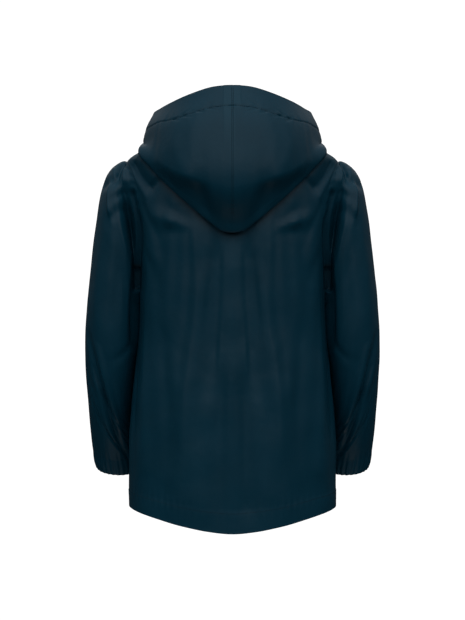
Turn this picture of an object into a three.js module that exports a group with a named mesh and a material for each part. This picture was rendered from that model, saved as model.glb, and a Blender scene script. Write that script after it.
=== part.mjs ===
// A kids' hooded raincoat in coated cloth, in millimetres, for a child about 128 cm tall.
// It keeps its worn form with no wearer inside: neck, hem and cuffs are open.
// The origin is the middle of the wearer's shoulders.
// +Z is up, the front faces -Y and +X is the wearer's left.
import * as THREE from "three";

// Cloth and seams
const CLOTH = 1.5; // the wall of one layer of coated cloth
const TURNED_CLOTH = 2.4; // a turned and stitched hem, two layers
const SEAM_GAP = 0.3; // between two pieces sewn edge to edge
const FELL_ANGLE = 9; // degrees of the hood that the felled allowance takes beside its centre seam
const FELL_CLOTH = 2.2; // the wall where that allowance lies under the hood

// Body
const HEM_LEVEL = -532; // the hem at the side seam
const HEM_DEPTH = 25; // edge to stitch line
const NECK_LEVEL = 24; // the neck seam at the shoulder
const UNDERARM_LEVEL = -208;
const SHOULDER_LEVEL = -18; // the shoulder seam's outer end
const SECTION_POWER = 2.4; // 2 is an ellipse, more is squarer
const TAIL_DROP = 32; // how much lower the centre back hem is than the side
const TAIL_FADE = 260; // the height over which the cloth takes up that drop
const DRAPE_FADE = 60; // the height over which a drape starts and ends
const NECK_TILT_FROM = -150; // the neck's tilt is taken up above this level
const NECK_TILT = 29;
const NECK_SCOOP = 21;
const ARMHOLE_BACK = 20; // degrees that the armhole cuts into the back
const ARMHOLE_FRONT = 22; // degrees that it cuts into the front
const ARMHOLE_LEAN = 0.15; // how much deeper the armhole is cut near the shoulder than near the underarm
const ARMHOLE_STEPS = 11; // rows of the body from underarm to shoulder
const LEVELS_BELOW = [-532, -508.5, -507, -468, -428, -385, -340, -300, -262, -234]; // rows under the armhole
const LEVELS_ABOVE = [-11, -3, 6, 15, 24]; // rows from the shoulder to the neck
const BACK_COLUMNS = 24;
const FRONT_COLUMNS = 12;
const BODY_STEP = 0.4; // degrees and millimetres between the points that a normal is taken from

// Front closing
const PLACKET_HALF_WIDTH = 24;
const PLACKET_CLOTH = 2; // the storm flap, two layers
const PLACKET_LIFT = 0.5; // from the fronts to the flap
const PLACKET_TOP = 15; // level of its top edge
const PLACKET_COLUMNS = 4;
const STUD_COUNT = 6;
const STUD_RADIUS = 6.5;
const STUD_HEIGHT = 2.4;
const STUD_TOP = -42; // the height of the top stud
const STUD_PITCH = 80;
const STUD_SIDES = 16;

// Sleeve
const PIT_TURN = 98; // degrees round the armhole where the cloth falls in most
const PIT_HALF = 52; // degrees to either side that it fades over
const PIT_IN_FRONT = 0.55; // the front's share of the back's
const FOLD_ENDS = 0.7; // how a fold rises from its ends, less is blunter
const CUFF_GATHERS = 26;
const COLUMNS_PER_GATHER = 2;
const GATHER_DEPTH = 1.3;
const GATHER_INSIDE = 0.5; // how much shallower the gathers are inside the cuff
const SLEEVE_STEP = { degrees: 1.5, rings: 0.12 }; // between the points that a normal is taken from

// Hood
const HOOD_STAND = 7; // the hood rises this much from the neck seam before it falls open
const STAND_LEAN = 1.5; // how far out the stand leans
const HOOD_SHRINK = 0.8; // its seam edge lies this much inside the body's neck edge
const HOOD_HEM_FROM = 8.65; // the rail of the hem's stitch line
const HOOD_HEM_STEP = 0.05; // the rails over which the wall thickens there
const HOOD_STEP = { degrees: 0.8, rails: 0.03 }; // between the points that a normal is taken from

// The body's sections from the hem up. level is their height at the side seam.
const BODY = [
  { level: -532, halfWidth: 154.5, back: 112, front: 106 },
  { level: -507, halfWidth: 154.8, back: 112, front: 106 },
  { level: -445, halfWidth: 155, back: 111, front: 105 },
  { level: -380, halfWidth: 151, back: 109, front: 103 },
  { level: -325, halfWidth: 145.5, back: 106, front: 101 },
  { level: -285, halfWidth: 140.8, back: 103, front: 99 },
  { level: -240, halfWidth: 138.8, back: 101, front: 97 },
  { level: -208, halfWidth: 139.2, back: 100, front: 96 },
  { level: -170, halfWidth: 141.5, back: 99, front: 94 },
  { level: -127, halfWidth: 146, back: 98, front: 91 },
  { level: -90, halfWidth: 151, back: 95, front: 87 },
  { level: -58, halfWidth: 155.5, back: 91, front: 82 },
  { level: -35, halfWidth: 158, back: 86, front: 76 },
  { level: -18, halfWidth: 157, back: 80, front: 70 },
  { level: -6, halfWidth: 139, back: 74, front: 66 },
  { level: 8, halfWidth: 106, back: 67, front: 61 },
  { level: 24, halfWidth: 68, back: 58, front: 55 },
];

// Drapes down the body, from one angle at the top to another at the bottom, both from the centre back.
// height is out (+) or in (-).
const BODY_DRAPES = [
  { top: -120, bottom: -400, topAngle: 0, bottomAngle: 0, halfAngle: 9, height: 3 },
  { top: -105, bottom: -390, topAngle: 13, bottomAngle: 21, halfAngle: 9, height: -3.5 },
  { top: -95, bottom: -560, topAngle: 27, bottomAngle: 38, halfAngle: 12, height: 3 },
  { top: -300, bottom: -575, topAngle: 9, bottomAngle: 13, halfAngle: 11, height: -2.5 },
  { top: -70, bottom: -540, topAngle: 47, bottomAngle: 56, halfAngle: 12, height: -3 },
  { top: -40, bottom: -300, topAngle: 58, bottomAngle: 68, halfAngle: 10, height: 3 },
  { top: -260, bottom: -560, topAngle: 112, bottomAngle: 110, halfAngle: 12, height: -3.5 },
  { top: -100, bottom: -560, topAngle: 136, bottomAngle: 132, halfAngle: 13, height: 3.5 },
  { top: -180, bottom: -560, topAngle: 152, bottomAngle: 155, halfAngle: 10, height: -2.5 },
];

// The sleeve's rings after the armhole. Each has an outer point and an inner one, and its depth in front of and
// behind midY. pit is how far the cloth falls in beside the armhole, and pitch how it leans with the forearm.
const SLEEVE = [
  { outX: 163, outZ: -17, inX: 140.8, inZ: -205.8, midY: 0, back: 44, front: 48, pit: 30, pitch: 0 },
  { outX: 173, outZ: -22, inX: 141.4, inZ: -209, midY: 0, back: 44, front: 50, pit: 9, pitch: 0 },
  { outX: 184, outZ: -31.5, inX: 141.6, inZ: -214, midY: 0, back: 46, front: 51, pit: 0, pitch: 0 },
  { outX: 192.5, outZ: -48, inX: 141.2, inZ: -220, midY: 0, back: 47, front: 51, pit: 0, pitch: 0 },
  { outX: 199.5, outZ: -74, inX: 140.8, inZ: -228, midY: -1, back: 48, front: 51, pit: 0, pitch: 0 },
  { outX: 205, outZ: -112, inX: 140.5, inZ: -240, midY: -2, back: 48, front: 50, pit: 0, pitch: 0 },
  { outX: 210.5, outZ: -156, inX: 141, inZ: -256, midY: -3, back: 49, front: 50, pit: 0, pitch: 0 },
  { outX: 216, outZ: -206, inX: 142.4, inZ: -278, midY: -4, back: 49, front: 50, pit: 0, pitch: 1 },
  { outX: 220, outZ: -254, inX: 145.4, inZ: -306, midY: -6, back: 49, front: 49, pit: 0, pitch: 3 },
  { outX: 221.6, outZ: -298, inX: 149, inZ: -336, midY: -10, back: 48, front: 48, pit: 0, pitch: 6 },
  { outX: 220.6, outZ: -342, inX: 152.6, inZ: -368, midY: -18, back: 46, front: 46, pit: 0, pitch: 10 },
  { outX: 218, outZ: -386, inX: 153.5, inZ: -402, midY: -30, back: 43, front: 43, pit: 0, pitch: 14 },
  { outX: 215, outZ: -428, inX: 150, inZ: -436, midY: -46, back: 38, front: 38, pit: 0, pitch: 18 },
  { outX: 212, outZ: -454, inX: 147, inZ: -460, midY: -56, back: 33.5, front: 33.5, pit: 0, pitch: 19 },
];
const SLEEVE_END = SLEEVE.length;

// The elastic casing below the sleeve's last ring.
const CUFF = [
  {
    outX: 211.8, outZ: -454.4, inX: 147, inZ: -460.4, midY: -56.2,
    depth: 33.5, pitch: 19, gather: 0.6,
  },
  {
    outX: 209.4, outZ: -468.5, inX: 145, inZ: -473.5, midY: -61,
    depth: 32, pitch: 19.3, gather: 1,
  },
  {
    outX: 206, outZ: -481, inX: 145.5, inZ: -485, midY: -65,
    depth: 30.6, pitch: 19.6, gather: 1,
  },
];

// Folds in the sleeve. A fold runs from one ring and angle to another; the angle is 0 outside and 90 behind.
const SLEEVE_FOLDS = [
  { ring0: 9.2, angle0: 32, ring1: 13.2, angle1: 128, halfAngle: 15, height: -5 },
  { ring0: 11, angle0: 70, ring1: 14, angle1: 138, halfAngle: 13, height: -4 },
  { ring0: 9.4, angle0: 62, ring1: 12.4, angle1: 122, halfAngle: 16, height: 4 },
  { ring0: 9.5, angle0: 322, ring1: 13.4, angle1: 250, halfAngle: 17, height: -4 },
  { ring0: 8.4, angle0: 215, ring1: 10.8, angle1: 292, halfAngle: 17, height: -5 },
  { ring0: 0.4, angle0: 38, ring1: 4.6, angle1: 52, halfAngle: 18, height: 3.5 },
  { ring0: 0.4, angle0: 322, ring1: 4.2, angle1: 306, halfAngle: 18, height: 3 },
];

// The hood's stations from the centre back round to the throat, by angle at the neck seam. The fold, where
// the hood turns back on itself, is given on the body. belly, upper and brim are points of the layer that shows.
const HOOD = [
  {
    angle: 0, foldAngle: 0, foldLevel: -125, foldLift: 17,
    belly: [0, 143, -38], upper: [0, 128, 30], brim: [0, 93, 86.6],
  },
  {
    angle: 15, foldAngle: 17, foldLevel: -113, foldLift: 17,
    belly: [33, 139, -33], upper: [30, 124, 32], brim: [28, 91, 84.6],
  },
  {
    angle: 30, foldAngle: 36, foldLevel: -83, foldLift: 16,
    belly: [66, 127, -20], upper: [60, 114, 34], brim: [56, 83, 77],
  },
  {
    angle: 50, foldAngle: 52, foldLevel: -54, foldLift: 15,
    belly: [98, 103, -6], upper: [89, 93, 34], brim: [84, 67, 67],
  },
  {
    angle: 70, foldAngle: 66, foldLevel: -24, foldLift: 16,
    belly: [121, 68, 9], upper: [111, 62, 35], brim: [105, 43, 58.5],
  },
  {
    angle: 90, foldAngle: 86, foldLevel: 6, foldLift: 14,
    belly: [128.5, 16, 16], upper: [126, 16, 35], brim: [118, 10, 52],
  },
  {
    angle: 112, foldAngle: 111, foldLevel: 0, foldLift: 14,
    belly: [116, -46, 10], upper: [113, -43, 24], brim: [104, -36, 37],
  },
  {
    angle: 135, foldAngle: 135, foldLevel: -7, foldLift: 14,
    belly: [72, -76, -13], upper: [72, -76, 4], brim: [67, -68, 19],
  },
  {
    angle: 155, foldAngle: 155, foldLevel: 0, foldLift: 14,
    belly: [36, -85, -26], upper: [37, -86, -10], brim: [36, -79, 5],
  },
  {
    angle: 172, foldAngle: 172, foldLevel: 6, foldLift: 14,
    belly: [11, -85, -31], upper: [12, -87, -16], brim: [13, -82, -1],
  },
];

// The hood's rails from the stand round to the belly: their share of the way from the neck seam to the fold,
// and their lift off the body, which is rest + fold x the station's foldLift.
const HOOD_UNDER = [
  { share: 0.22, rest: 8, fold: 0 },
  { share: 0.6, rest: 5, fold: 0 },
  { share: 0.94, rest: 5, fold: 0 },
  { share: 1.03, rest: 1, fold: 0.5 },
  { share: 0.94, rest: 0, fold: 1 },
];

// The hood's rows. Whole numbers are its rails, from the neck seam (0) round the fold (5) to the belly (7),
// the upper line (8) and the brim (9).
const HOOD_ROWS = [
  0, 1, 1.5, 2, 2.5, 3, 3.5, 4, 4.5, 5, 5.5, 6, 6.25, 6.5, 6.75, 7, 7.35, 7.7, 8, 8.3,
  HOOD_HEM_FROM - HOOD_HEM_STEP, HOOD_HEM_FROM, 9,
];
const HOOD_COLUMNS = [0, 4.5, 10, 17, 26, 36, 47, 57, 65, 72, 79, 89, 101, 114, 130, 150, 172];

// Soft hollows beside the hood's centre seam, by station angle and rail.
const HOOD_HOLLOWS = [
  { angle: 25, halfAngle: 14, rail: 6.6, halfRail: 0.75, height: -7 },
  { angle: 0, halfAngle: 8, rail: 6.6, halfRail: 0.8, height: 3 },
];

// Half a section of a stud's cap, in shares of its radius and height.
const STUD_PROFILE = [
  { radius: 0, height: 0 },
  { radius: 0.94, height: 0 },
  { radius: 1, height: 0.3 },
  { radius: 0.86, height: 0.75 },
  { radius: 0.5, height: 1 },
  { radius: 0, height: 1 },
];

const radians = (degrees) => (degrees * Math.PI) / 180;
const clamp01 = (value) => Math.min(Math.max(value, 0), 1);
const mix = (a, b, t) => a + (b - a) * t;

// One smooth hill: 1 in the middle, 0 from the edge on.
function hill(distance, half) {
  const t = clamp01(1 - Math.abs(distance) / half);
  return t * t * (3 - 2 * t);
}

// A smooth curve through values at knots, straight past its ends.
function through(knots, values, at) {
  const last = knots.length - 1;
  const slope = (k) => {
    const before = Math.max(k - 1, 0);
    const after = Math.min(k + 1, last);
    return (values[after] - values[before]) / (knots[after] - knots[before]);
  };
  if (at <= knots[0]) return values[0] + slope(0) * (at - knots[0]);
  if (at >= knots[last]) return values[last] + slope(last) * (at - knots[last]);
  let i = 0;
  while (at > knots[i + 1]) i += 1;
  const span = knots[i + 1] - knots[i];
  const t = (at - knots[i]) / span;
  const rise = t * t * (3 - 2 * t);
  const leave = t * (1 - t) * (1 - t) * span;
  const arrive = t * t * (t - 1) * span;
  return values[i] * (1 - rise) + values[i + 1] * rise + slope(i) * leave + slope(i + 1) * arrive;
}

// A smooth curve through points at knots.
function throughPoints(knots, points, at) {
  return new THREE.Vector3(
    through(knots, points.map((p) => p.x), at),
    through(knots, points.map((p) => p.y), at),
    through(knots, points.map((p) => p.z), at),
  );
}

// The unit normal of a surface point(u, v), on the side of dv x du.
function normalOf(point, u, v, stepU, stepV) {
  const alongU = point(u + stepU, v).sub(point(u - stepU, v));
  const alongV = point(u, v + stepV).sub(point(u, v - stepV));
  return alongV.cross(alongU).normalize();
}

// Body surface

const LEVELS = BODY.map((row) => row.level);
const HALF_WIDTHS = BODY.map((row) => row.halfWidth);
const BACKS = BODY.map((row) => row.back);
const FRONTS = BODY.map((row) => row.front);

// How far the drapes push the body out at a level and an angle.
function bodyDrape(level, degrees) {
  return BODY_DRAPES.reduce((sum, d) => {
    const down = (d.top - level) / (d.top - d.bottom);
    const onHeight = clamp01((d.top - level) / DRAPE_FADE) * clamp01((level - d.bottom) / DRAPE_FADE);
    const away = Math.abs(degrees) - mix(d.topAngle, d.bottomAngle, down);
    return sum + d.height * hill(away, d.halfAngle) * onHeight;
  }, 0);
}

// A point of the body's outer face. degrees is from the centre back, + to the wearer's left.
function bodyPoint(degrees, level) {
  const sin = Math.sin(radians(degrees));
  const cos = Math.cos(radians(degrees));
  const halfWidth = through(LEVELS, HALF_WIDTHS, level);
  const depth = through(LEVELS, cos > 0 ? BACKS : FRONTS, level);
  const section = (Math.abs(sin) / halfWidth) ** SECTION_POWER + (Math.abs(cos) / depth) ** SECTION_POWER;
  const radius = section ** (-1 / SECTION_POWER) + bodyDrape(level, degrees);
  const tail = cos > 0 ? TAIL_DROP * cos * cos * clamp01(1 - (level - HEM_LEVEL) / TAIL_FADE) ** 2 : 0;
  const tilt = clamp01((level - NECK_TILT_FROM) / (NECK_LEVEL - NECK_TILT_FROM)) ** 2;
  const neck = tilt * (NECK_TILT * cos - NECK_SCOOP * cos * cos);
  return new THREE.Vector3(radius * sin, radius * cos, level - tail + neck);
}

const bodyNormal = (degrees, level) => normalOf(bodyPoint, degrees, level, BODY_STEP, BODY_STEP);

// A point on the body, moved out by lift.
function onBody(degrees, level, lift) {
  return bodyPoint(degrees, level).addScaledVector(bodyNormal(degrees, level), lift);
}

const ARMHOLE_MIDDLE = (UNDERARM_LEVEL + SHOULDER_LEVEL) / 2;
const ARMHOLE_HALF = (SHOULDER_LEVEL - UNDERARM_LEVEL) / 2;

// How far the armhole's edge is from the side, in degrees. turn is 0 at the shoulder and 180 at the underarm.
function armholeCut(turn, widest) {
  return widest * Math.sin(radians(turn)) * (1 + ARMHOLE_LEAN * Math.cos(radians(turn)));
}

// The body's rows from hem to neck: a level, and the armhole's turn on the rows that it cuts.
function bodyRows() {
  const rows = LEVELS_BELOW.map((level) => ({ level, turn: 180 }));
  for (let k = ARMHOLE_STEPS; k >= 0; k -= 1) {
    const turn = (180 * k) / ARMHOLE_STEPS;
    rows.push({ level: ARMHOLE_MIDDLE + ARMHOLE_HALF * Math.cos(radians(turn)), turn });
  }
  LEVELS_ABOVE.forEach((level) => rows.push({ level, turn: 0 }));
  return rows;
}

const gapAngle = (level) => (SEAM_GAP / 2 / through(LEVELS, HALF_WIDTHS, level)) * (180 / Math.PI);

// The cell of a wall at a point of the body: its outer face and its inner one.
function bodyCell(degrees, level) {
  const thickness = level < HEM_LEVEL + HEM_DEPTH - 1 ? TURNED_CLOTH : CLOTH;
  const outer = bodyPoint(degrees, level);
  return { outer, inner: outer.clone().addScaledVector(bodyNormal(degrees, level), -thickness) };
}

// A panel of the body between two edges, each a function of a row that gives degrees.
function bodyPanel(fromEdge, toEdge, columns) {
  return bodyRows().map((row) => {
    const from = fromEdge(row);
    const to = toEdge(row);
    return Array.from({ length: columns + 1 }, (_, c) => bodyCell(mix(from, to, c / columns), row.level));
  });
}

const backEdge = (row) => 90 - armholeCut(row.turn, ARMHOLE_BACK) - gapAngle(row.level);
const frontEdge = (row) => 90 + armholeCut(row.turn, ARMHOLE_FRONT) + gapAngle(row.level);
const closingEdge = (row) => 180 - gapAngle(row.level);

// Sleeve surface

// How strongly the cloth falls in beside the armhole at this turn.
function pitShare(degrees) {
  const behind = degrees <= 180;
  const turn = behind ? degrees : 360 - degrees;
  return hill(turn - PIT_TURN, PIT_HALF) * (behind ? 1 : PIT_IN_FRONT);
}

// A point of a table ring at an angle: 0 outside, 90 behind, 180 inside, 270 in front.
function ringPoint(ring, degrees) {
  const sin = Math.sin(radians(degrees));
  const cos = Math.cos(radians(degrees));
  const side = Math.sign(sin);
  const depth = (sin > 0 ? ring.back : ring.front) * sin - side * ring.pit * pitShare(degrees);
  const lean = radians(ring.pitch);
  return new THREE.Vector3(
    mix(ring.inX, ring.outX, (1 + cos) / 2),
    ring.midY + depth * Math.cos(lean),
    mix(ring.inZ, ring.outZ, (1 + cos) / 2) - depth * Math.sin(lean),
  );
}

// The sleeve's edge in the armhole, on the body's surface: degrees from the centre back, and level.
function armholePlace(degrees) {
  const turn = degrees <= 180 ? degrees : 360 - degrees;
  const level = ARMHOLE_MIDDLE + (ARMHOLE_HALF - SEAM_GAP) * Math.cos(radians(turn));
  const gap = gapAngle(level) * Math.sin(radians(turn));
  const behind = degrees <= 180;
  const cut = armholeCut(turn, behind ? ARMHOLE_BACK : ARMHOLE_FRONT) - gap;
  return { degrees: behind ? 90 - cut : 90 + cut, level };
}

function armholePoint(degrees) {
  const place = armholePlace(degrees);
  return bodyPoint(place.degrees, place.level);
}

// How far the folds push the sleeve out at a ring and an angle.
function sleeveFold(ring, degrees) {
  return SLEEVE_FOLDS.reduce((sum, f) => {
    const t = (ring - f.ring0) / (f.ring1 - f.ring0);
    if (t <= 0 || t >= 1) return sum;
    const away = ((degrees - mix(f.angle0, f.angle1, t) + 540) % 360) - 180;
    return sum + f.height * hill(away, f.halfAngle) * Math.sin(Math.PI * t) ** FOLD_ENDS;
  }, 0);
}

// A point of the sleeve before its folds. ring 0 is the armhole and the last is above the cuff.
function plainSleevePoint(degrees, ring) {
  const turn = (degrees + 360) % 360;
  const points = [armholePoint(turn), ...SLEEVE.map((row) => ringPoint(row, turn))];
  return throughPoints(points.map((_, k) => k), points, ring);
}

// The unit normal of the sleeve, outwards.
const sleeveNormal = (degrees, ring) =>
  normalOf(plainSleevePoint, degrees, ring, SLEEVE_STEP.degrees, SLEEVE_STEP.rings);

function sleeveCell(degrees, ring) {
  const outer = plainSleevePoint(degrees, ring);
  if (ring === 0) {
    const place = armholePlace((degrees + 360) % 360);
    return { outer, inner: outer.clone().addScaledVector(bodyNormal(place.degrees, place.level), -CLOTH) };
  }
  const normal = sleeveNormal(degrees, ring);
  outer.addScaledVector(normal, sleeveFold(ring, degrees));
  return { outer, inner: outer.clone().addScaledVector(normal, -CLOTH) };
}

function sleeveGrid() {
  const columns = 2 * ARMHOLE_STEPS;
  const rings = [0, 0.5];
  for (let ring = 1; ring < 9; ring += 1) rings.push(ring);
  for (let ring = 9; ring <= SLEEVE_END; ring += 0.5) rings.push(ring);
  const step = 360 / columns;
  return rings.map((ring) => Array.from({ length: columns }, (_, c) => sleeveCell(step * c, ring)));
}

// The cuff's casing, drawn up by its elastic into even gathers.
function cuffGrid() {
  const columns = CUFF_GATHERS * COLUMNS_PER_GATHER;
  return CUFF.map((row) =>
    Array.from({ length: columns }, (_, c) => {
      const degrees = (360 * c) / columns;
      const ring = { ...row, back: row.depth, front: row.depth, pit: 0 };
      const at = ringPoint(ring, degrees);
      const middle = ringPoint(ring, degrees + 180).lerp(at, 0.5);
      const out = at.clone().sub(middle).normalize();
      const wave = (c % COLUMNS_PER_GATHER === 0 ? 0 : -GATHER_DEPTH) * row.gather;
      const outer = at.addScaledVector(out, wave);
      return { outer, inner: outer.clone().addScaledVector(out, -CLOTH - wave * GATHER_INSIDE) };
    }),
  );
}

// Hood surface

const mirrored = (point) => new THREE.Vector3(-point.x, point.y, point.z);

// The stations with two more past the centre seam, so that the hood crosses it level.
const STATIONS = [
  ...HOOD.slice(1, 3)
    .reverse()
    .map((row) => ({
      ...row,
      angle: -row.angle,
      foldAngle: -row.foldAngle,
      belly: [-row.belly[0], row.belly[1], row.belly[2]],
      upper: [-row.upper[0], row.upper[1], row.upper[2]],
      brim: [-row.brim[0], row.brim[1], row.brim[2]],
    })),
  ...HOOD,
];
const STATION_ANGLES = STATIONS.map((row) => row.angle);

const hoodValue = (name, degrees) => through(STATION_ANGLES, STATIONS.map((row) => row[name]), degrees);

function hoodLine(name, degrees) {
  const points = STATIONS.map((row) => new THREE.Vector3(...row[name]));
  return throughPoints(STATION_ANGLES, points, degrees);
}

// The points on the hood's rails at an angle, from the neck seam under the hood, round its fold to the brim.
function railPoints(degrees) {
  const seam = bodyPoint(degrees, NECK_LEVEL);
  const inward = new THREE.Vector3(-seam.x, -seam.y, 0).normalize();
  seam.addScaledVector(inward, HOOD_SHRINK);
  const foldAngle = hoodValue("foldAngle", degrees);
  const foldLevel = hoodValue("foldLevel", degrees);
  const foldLift = hoodValue("foldLift", degrees);
  const under = HOOD_UNDER.map((rail) => {
    const lift = rail.rest + rail.fold * foldLift;
    return onBody(mix(degrees, foldAngle, rail.share), mix(NECK_LEVEL, foldLevel, rail.share), lift);
  });
  return [
    seam,
    seam.clone().addScaledVector(inward, -STAND_LEAN).add(new THREE.Vector3(0, 0, HOOD_STAND)),
    ...under,
    hoodLine("belly", degrees),
    hoodLine("upper", degrees),
    hoodLine("brim", degrees),
  ];
}

function plainHoodPoint(degrees, rail) {
  const points = railPoints(degrees);
  const lengths = [0];
  for (let k = 1; k < points.length; k += 1) {
    lengths.push(lengths[k - 1] + points[k].distanceTo(points[k - 1]));
  }
  const before = Math.min(Math.max(Math.floor(rail), 0), points.length - 2);
  return throughPoints(lengths, points, mix(lengths[before], lengths[before + 1], rail - before));
}

const hoodNormal = (degrees, rail) =>
  normalOf(plainHoodPoint, degrees, rail, HOOD_STEP.degrees, HOOD_STEP.rails);

function hoodHollow(degrees, rail) {
  return HOOD_HOLLOWS.reduce(
    (sum, h) => sum + h.height * hill(degrees - h.angle, h.halfAngle) * hill(rail - h.rail, h.halfRail),
    0,
  );
}

function hoodCell(degrees, rail) {
  const normal = hoodNormal(degrees, rail);
  const outer = plainHoodPoint(degrees, rail).addScaledVector(normal, hoodHollow(degrees, rail));
  const single = degrees < FELL_ANGLE ? FELL_CLOTH : CLOTH;
  const thickness = rail >= HOOD_HEM_FROM ? TURNED_CLOTH : single;
  const inner = outer.clone().addScaledVector(normal, -thickness);
  if (degrees === 0) {
    outer.x = SEAM_GAP / 2;
    inner.x = SEAM_GAP / 2;
  }
  return { outer, inner };
}

const hoodGrid = () => HOOD_ROWS.map((rail) => HOOD_COLUMNS.map((degrees) => hoodCell(degrees, rail)));

// Solids

// Six times the signed volume of an indexed geometry.
function signedVolume(position, index) {
  const corner = (k) => new THREE.Vector3().fromBufferAttribute(position, index[k]);
  let sum = 0;
  for (let k = 0; k < index.length; k += 3) sum += corner(k).dot(corner(k + 1).cross(corner(k + 2)));
  return sum;
}

// A closed wall from rows of cells. around says that each row closes on itself, as a sleeve's does.
// Each cell of the grid is split along its shorter diagonal.
function wallGeometry(grid, around) {
  const rows = grid.length;
  const columns = grid[0].length;
  const cells = grid.flat();
  const points = [...cells.map((cell) => cell.outer), ...cells.map((cell) => cell.inner)];
  const outer = (r, c) => r * columns + (c % columns);
  const inner = (r, c) => cells.length + outer(r, c);
  const index = [];
  const quad = (a, b, c, d) => index.push(a, b, c, a, c, d);
  const spans = around ? columns : columns - 1;
  for (let c = 0; c < spans; c += 1) {
    for (let r = 0; r < rows - 1; r += 1) {
      const a = points[outer(r, c)];
      const b = points[outer(r, c + 1)];
      const across = points[outer(r + 1, c + 1)];
      const above = points[outer(r + 1, c)];
      if (a.distanceTo(across) <= b.distanceTo(above)) {
        quad(outer(r, c), outer(r, c + 1), outer(r + 1, c + 1), outer(r + 1, c));
        index.push(inner(r, c), inner(r + 1, c + 1), inner(r, c + 1));
        index.push(inner(r, c), inner(r + 1, c), inner(r + 1, c + 1));
      } else {
        quad(outer(r, c + 1), outer(r + 1, c + 1), outer(r + 1, c), outer(r, c));
        index.push(inner(r, c + 1), inner(r + 1, c), inner(r + 1, c + 1));
        index.push(inner(r, c + 1), inner(r, c), inner(r + 1, c));
      }
    }
    quad(outer(0, c), inner(0, c), inner(0, c + 1), outer(0, c + 1));
    quad(outer(rows - 1, c), outer(rows - 1, c + 1), inner(rows - 1, c + 1), inner(rows - 1, c));
  }
  const end = columns - 1;
  if (!around) {
    for (let r = 0; r < rows - 1; r += 1) {
      quad(outer(r, 0), outer(r + 1, 0), inner(r + 1, 0), inner(r, 0));
      quad(outer(r, end), inner(r, end), inner(r + 1, end), outer(r + 1, end));
    }
  }
  const geometry = new THREE.BufferGeometry().setFromPoints(points);
  if (signedVolume(geometry.getAttribute("position"), index) < 0) index.reverse();
  geometry.setIndex(index);
  geometry.computeVertexNormals();
  return geometry;
}

// The same grid on the wearer's other side.
const otherSide = (grid) =>
  grid.map((row) => row.map((cell) => ({ outer: mirrored(cell.outer), inner: mirrored(cell.inner) })));

// The storm flap over the front closing, made from the fronts' points, moved out.
function placketGrid() {
  const rows = [...bodyRows().filter((row) => row.level < PLACKET_TOP), { level: PLACKET_TOP, turn: 0 }];
  return rows.map((row) => {
    const half = (PLACKET_HALF_WIDTH / through(LEVELS, FRONTS, row.level)) * (180 / Math.PI);
    return Array.from({ length: PLACKET_COLUMNS + 1 }, (_, c) => {
      const degrees = mix(180 - half, 180 + half, c / PLACKET_COLUMNS);
      const place = degrees > 180 ? degrees - 360 : degrees;
      return {
        outer: onBody(place, row.level, PLACKET_LIFT + PLACKET_CLOTH),
        inner: onBody(place, row.level, PLACKET_LIFT),
      };
    });
  });
}

// The level at which the middle of the front is at a height.
function frontLevel(height) {
  let low = HEM_LEVEL;
  let high = NECK_LEVEL;
  for (let k = 0; k < 24; k += 1) {
    const middle = (low + high) / 2;
    if (bodyPoint(180, middle).z < height) low = middle;
    else high = middle;
  }
  return low;
}

// A press stud's domed cap on the flap.
function studMesh(index) {
  const level = frontLevel(STUD_TOP - index * STUD_PITCH);
  const profile = STUD_PROFILE.map((p) => new THREE.Vector2(STUD_RADIUS * p.radius, STUD_HEIGHT * p.height));
  const mesh = named(`stud_${index + 1}`, new THREE.LatheGeometry(profile, STUD_SIDES), studFinish);
  const out = bodyNormal(180, level);
  mesh.position.copy(onBody(180, level, PLACKET_LIFT + PLACKET_CLOTH + SEAM_GAP));
  mesh.quaternion.setFromUnitVectors(new THREE.Vector3(0, 1, 0), out);
  return mesh;
}

const clothFinish = new THREE.MeshStandardMaterial({ color: 0x10293a, roughness: 0.45, metalness: 0 });
const studFinish = new THREE.MeshStandardMaterial({ color: 0x14202a, roughness: 0.4, metalness: 0.3 });

function named(name, geometry, material) {
  const mesh = new THREE.Mesh(geometry, material);
  mesh.name = name;
  return mesh;
}

const coat = new THREE.Group();

const backPanel = bodyPanel((row) => -backEdge(row), backEdge, BACK_COLUMNS);
coat.add(named("back_panel", wallGeometry(backPanel, false), clothFinish));

const sides = [
  ["left", (grid) => grid],
  ["right", otherSide],
];
for (const [side, place] of sides) {
  const front = bodyPanel(frontEdge, closingEdge, FRONT_COLUMNS);
  coat.add(named(`front_${side}`, wallGeometry(place(front), false), clothFinish));
  coat.add(named(`sleeve_${side}`, wallGeometry(place(sleeveGrid()), true), clothFinish));
  coat.add(named(`cuff_${side}`, wallGeometry(place(cuffGrid()), true), clothFinish));
  coat.add(named(`hood_${side}`, wallGeometry(place(hoodGrid()), false), clothFinish));
}

coat.add(named("placket", wallGeometry(placketGrid(), false), clothFinish));
for (let k = 0; k < STUD_COUNT; k += 1) coat.add(studMesh(k));

export default coat;
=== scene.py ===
"""Dresses the kids' raincoat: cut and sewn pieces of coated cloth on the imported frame, with its studio."""

import math

import bpy
import numpy as np
from bpy.props import FloatProperty, FloatVectorProperty, PointerProperty
from mathutils import Matrix, Vector


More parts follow.
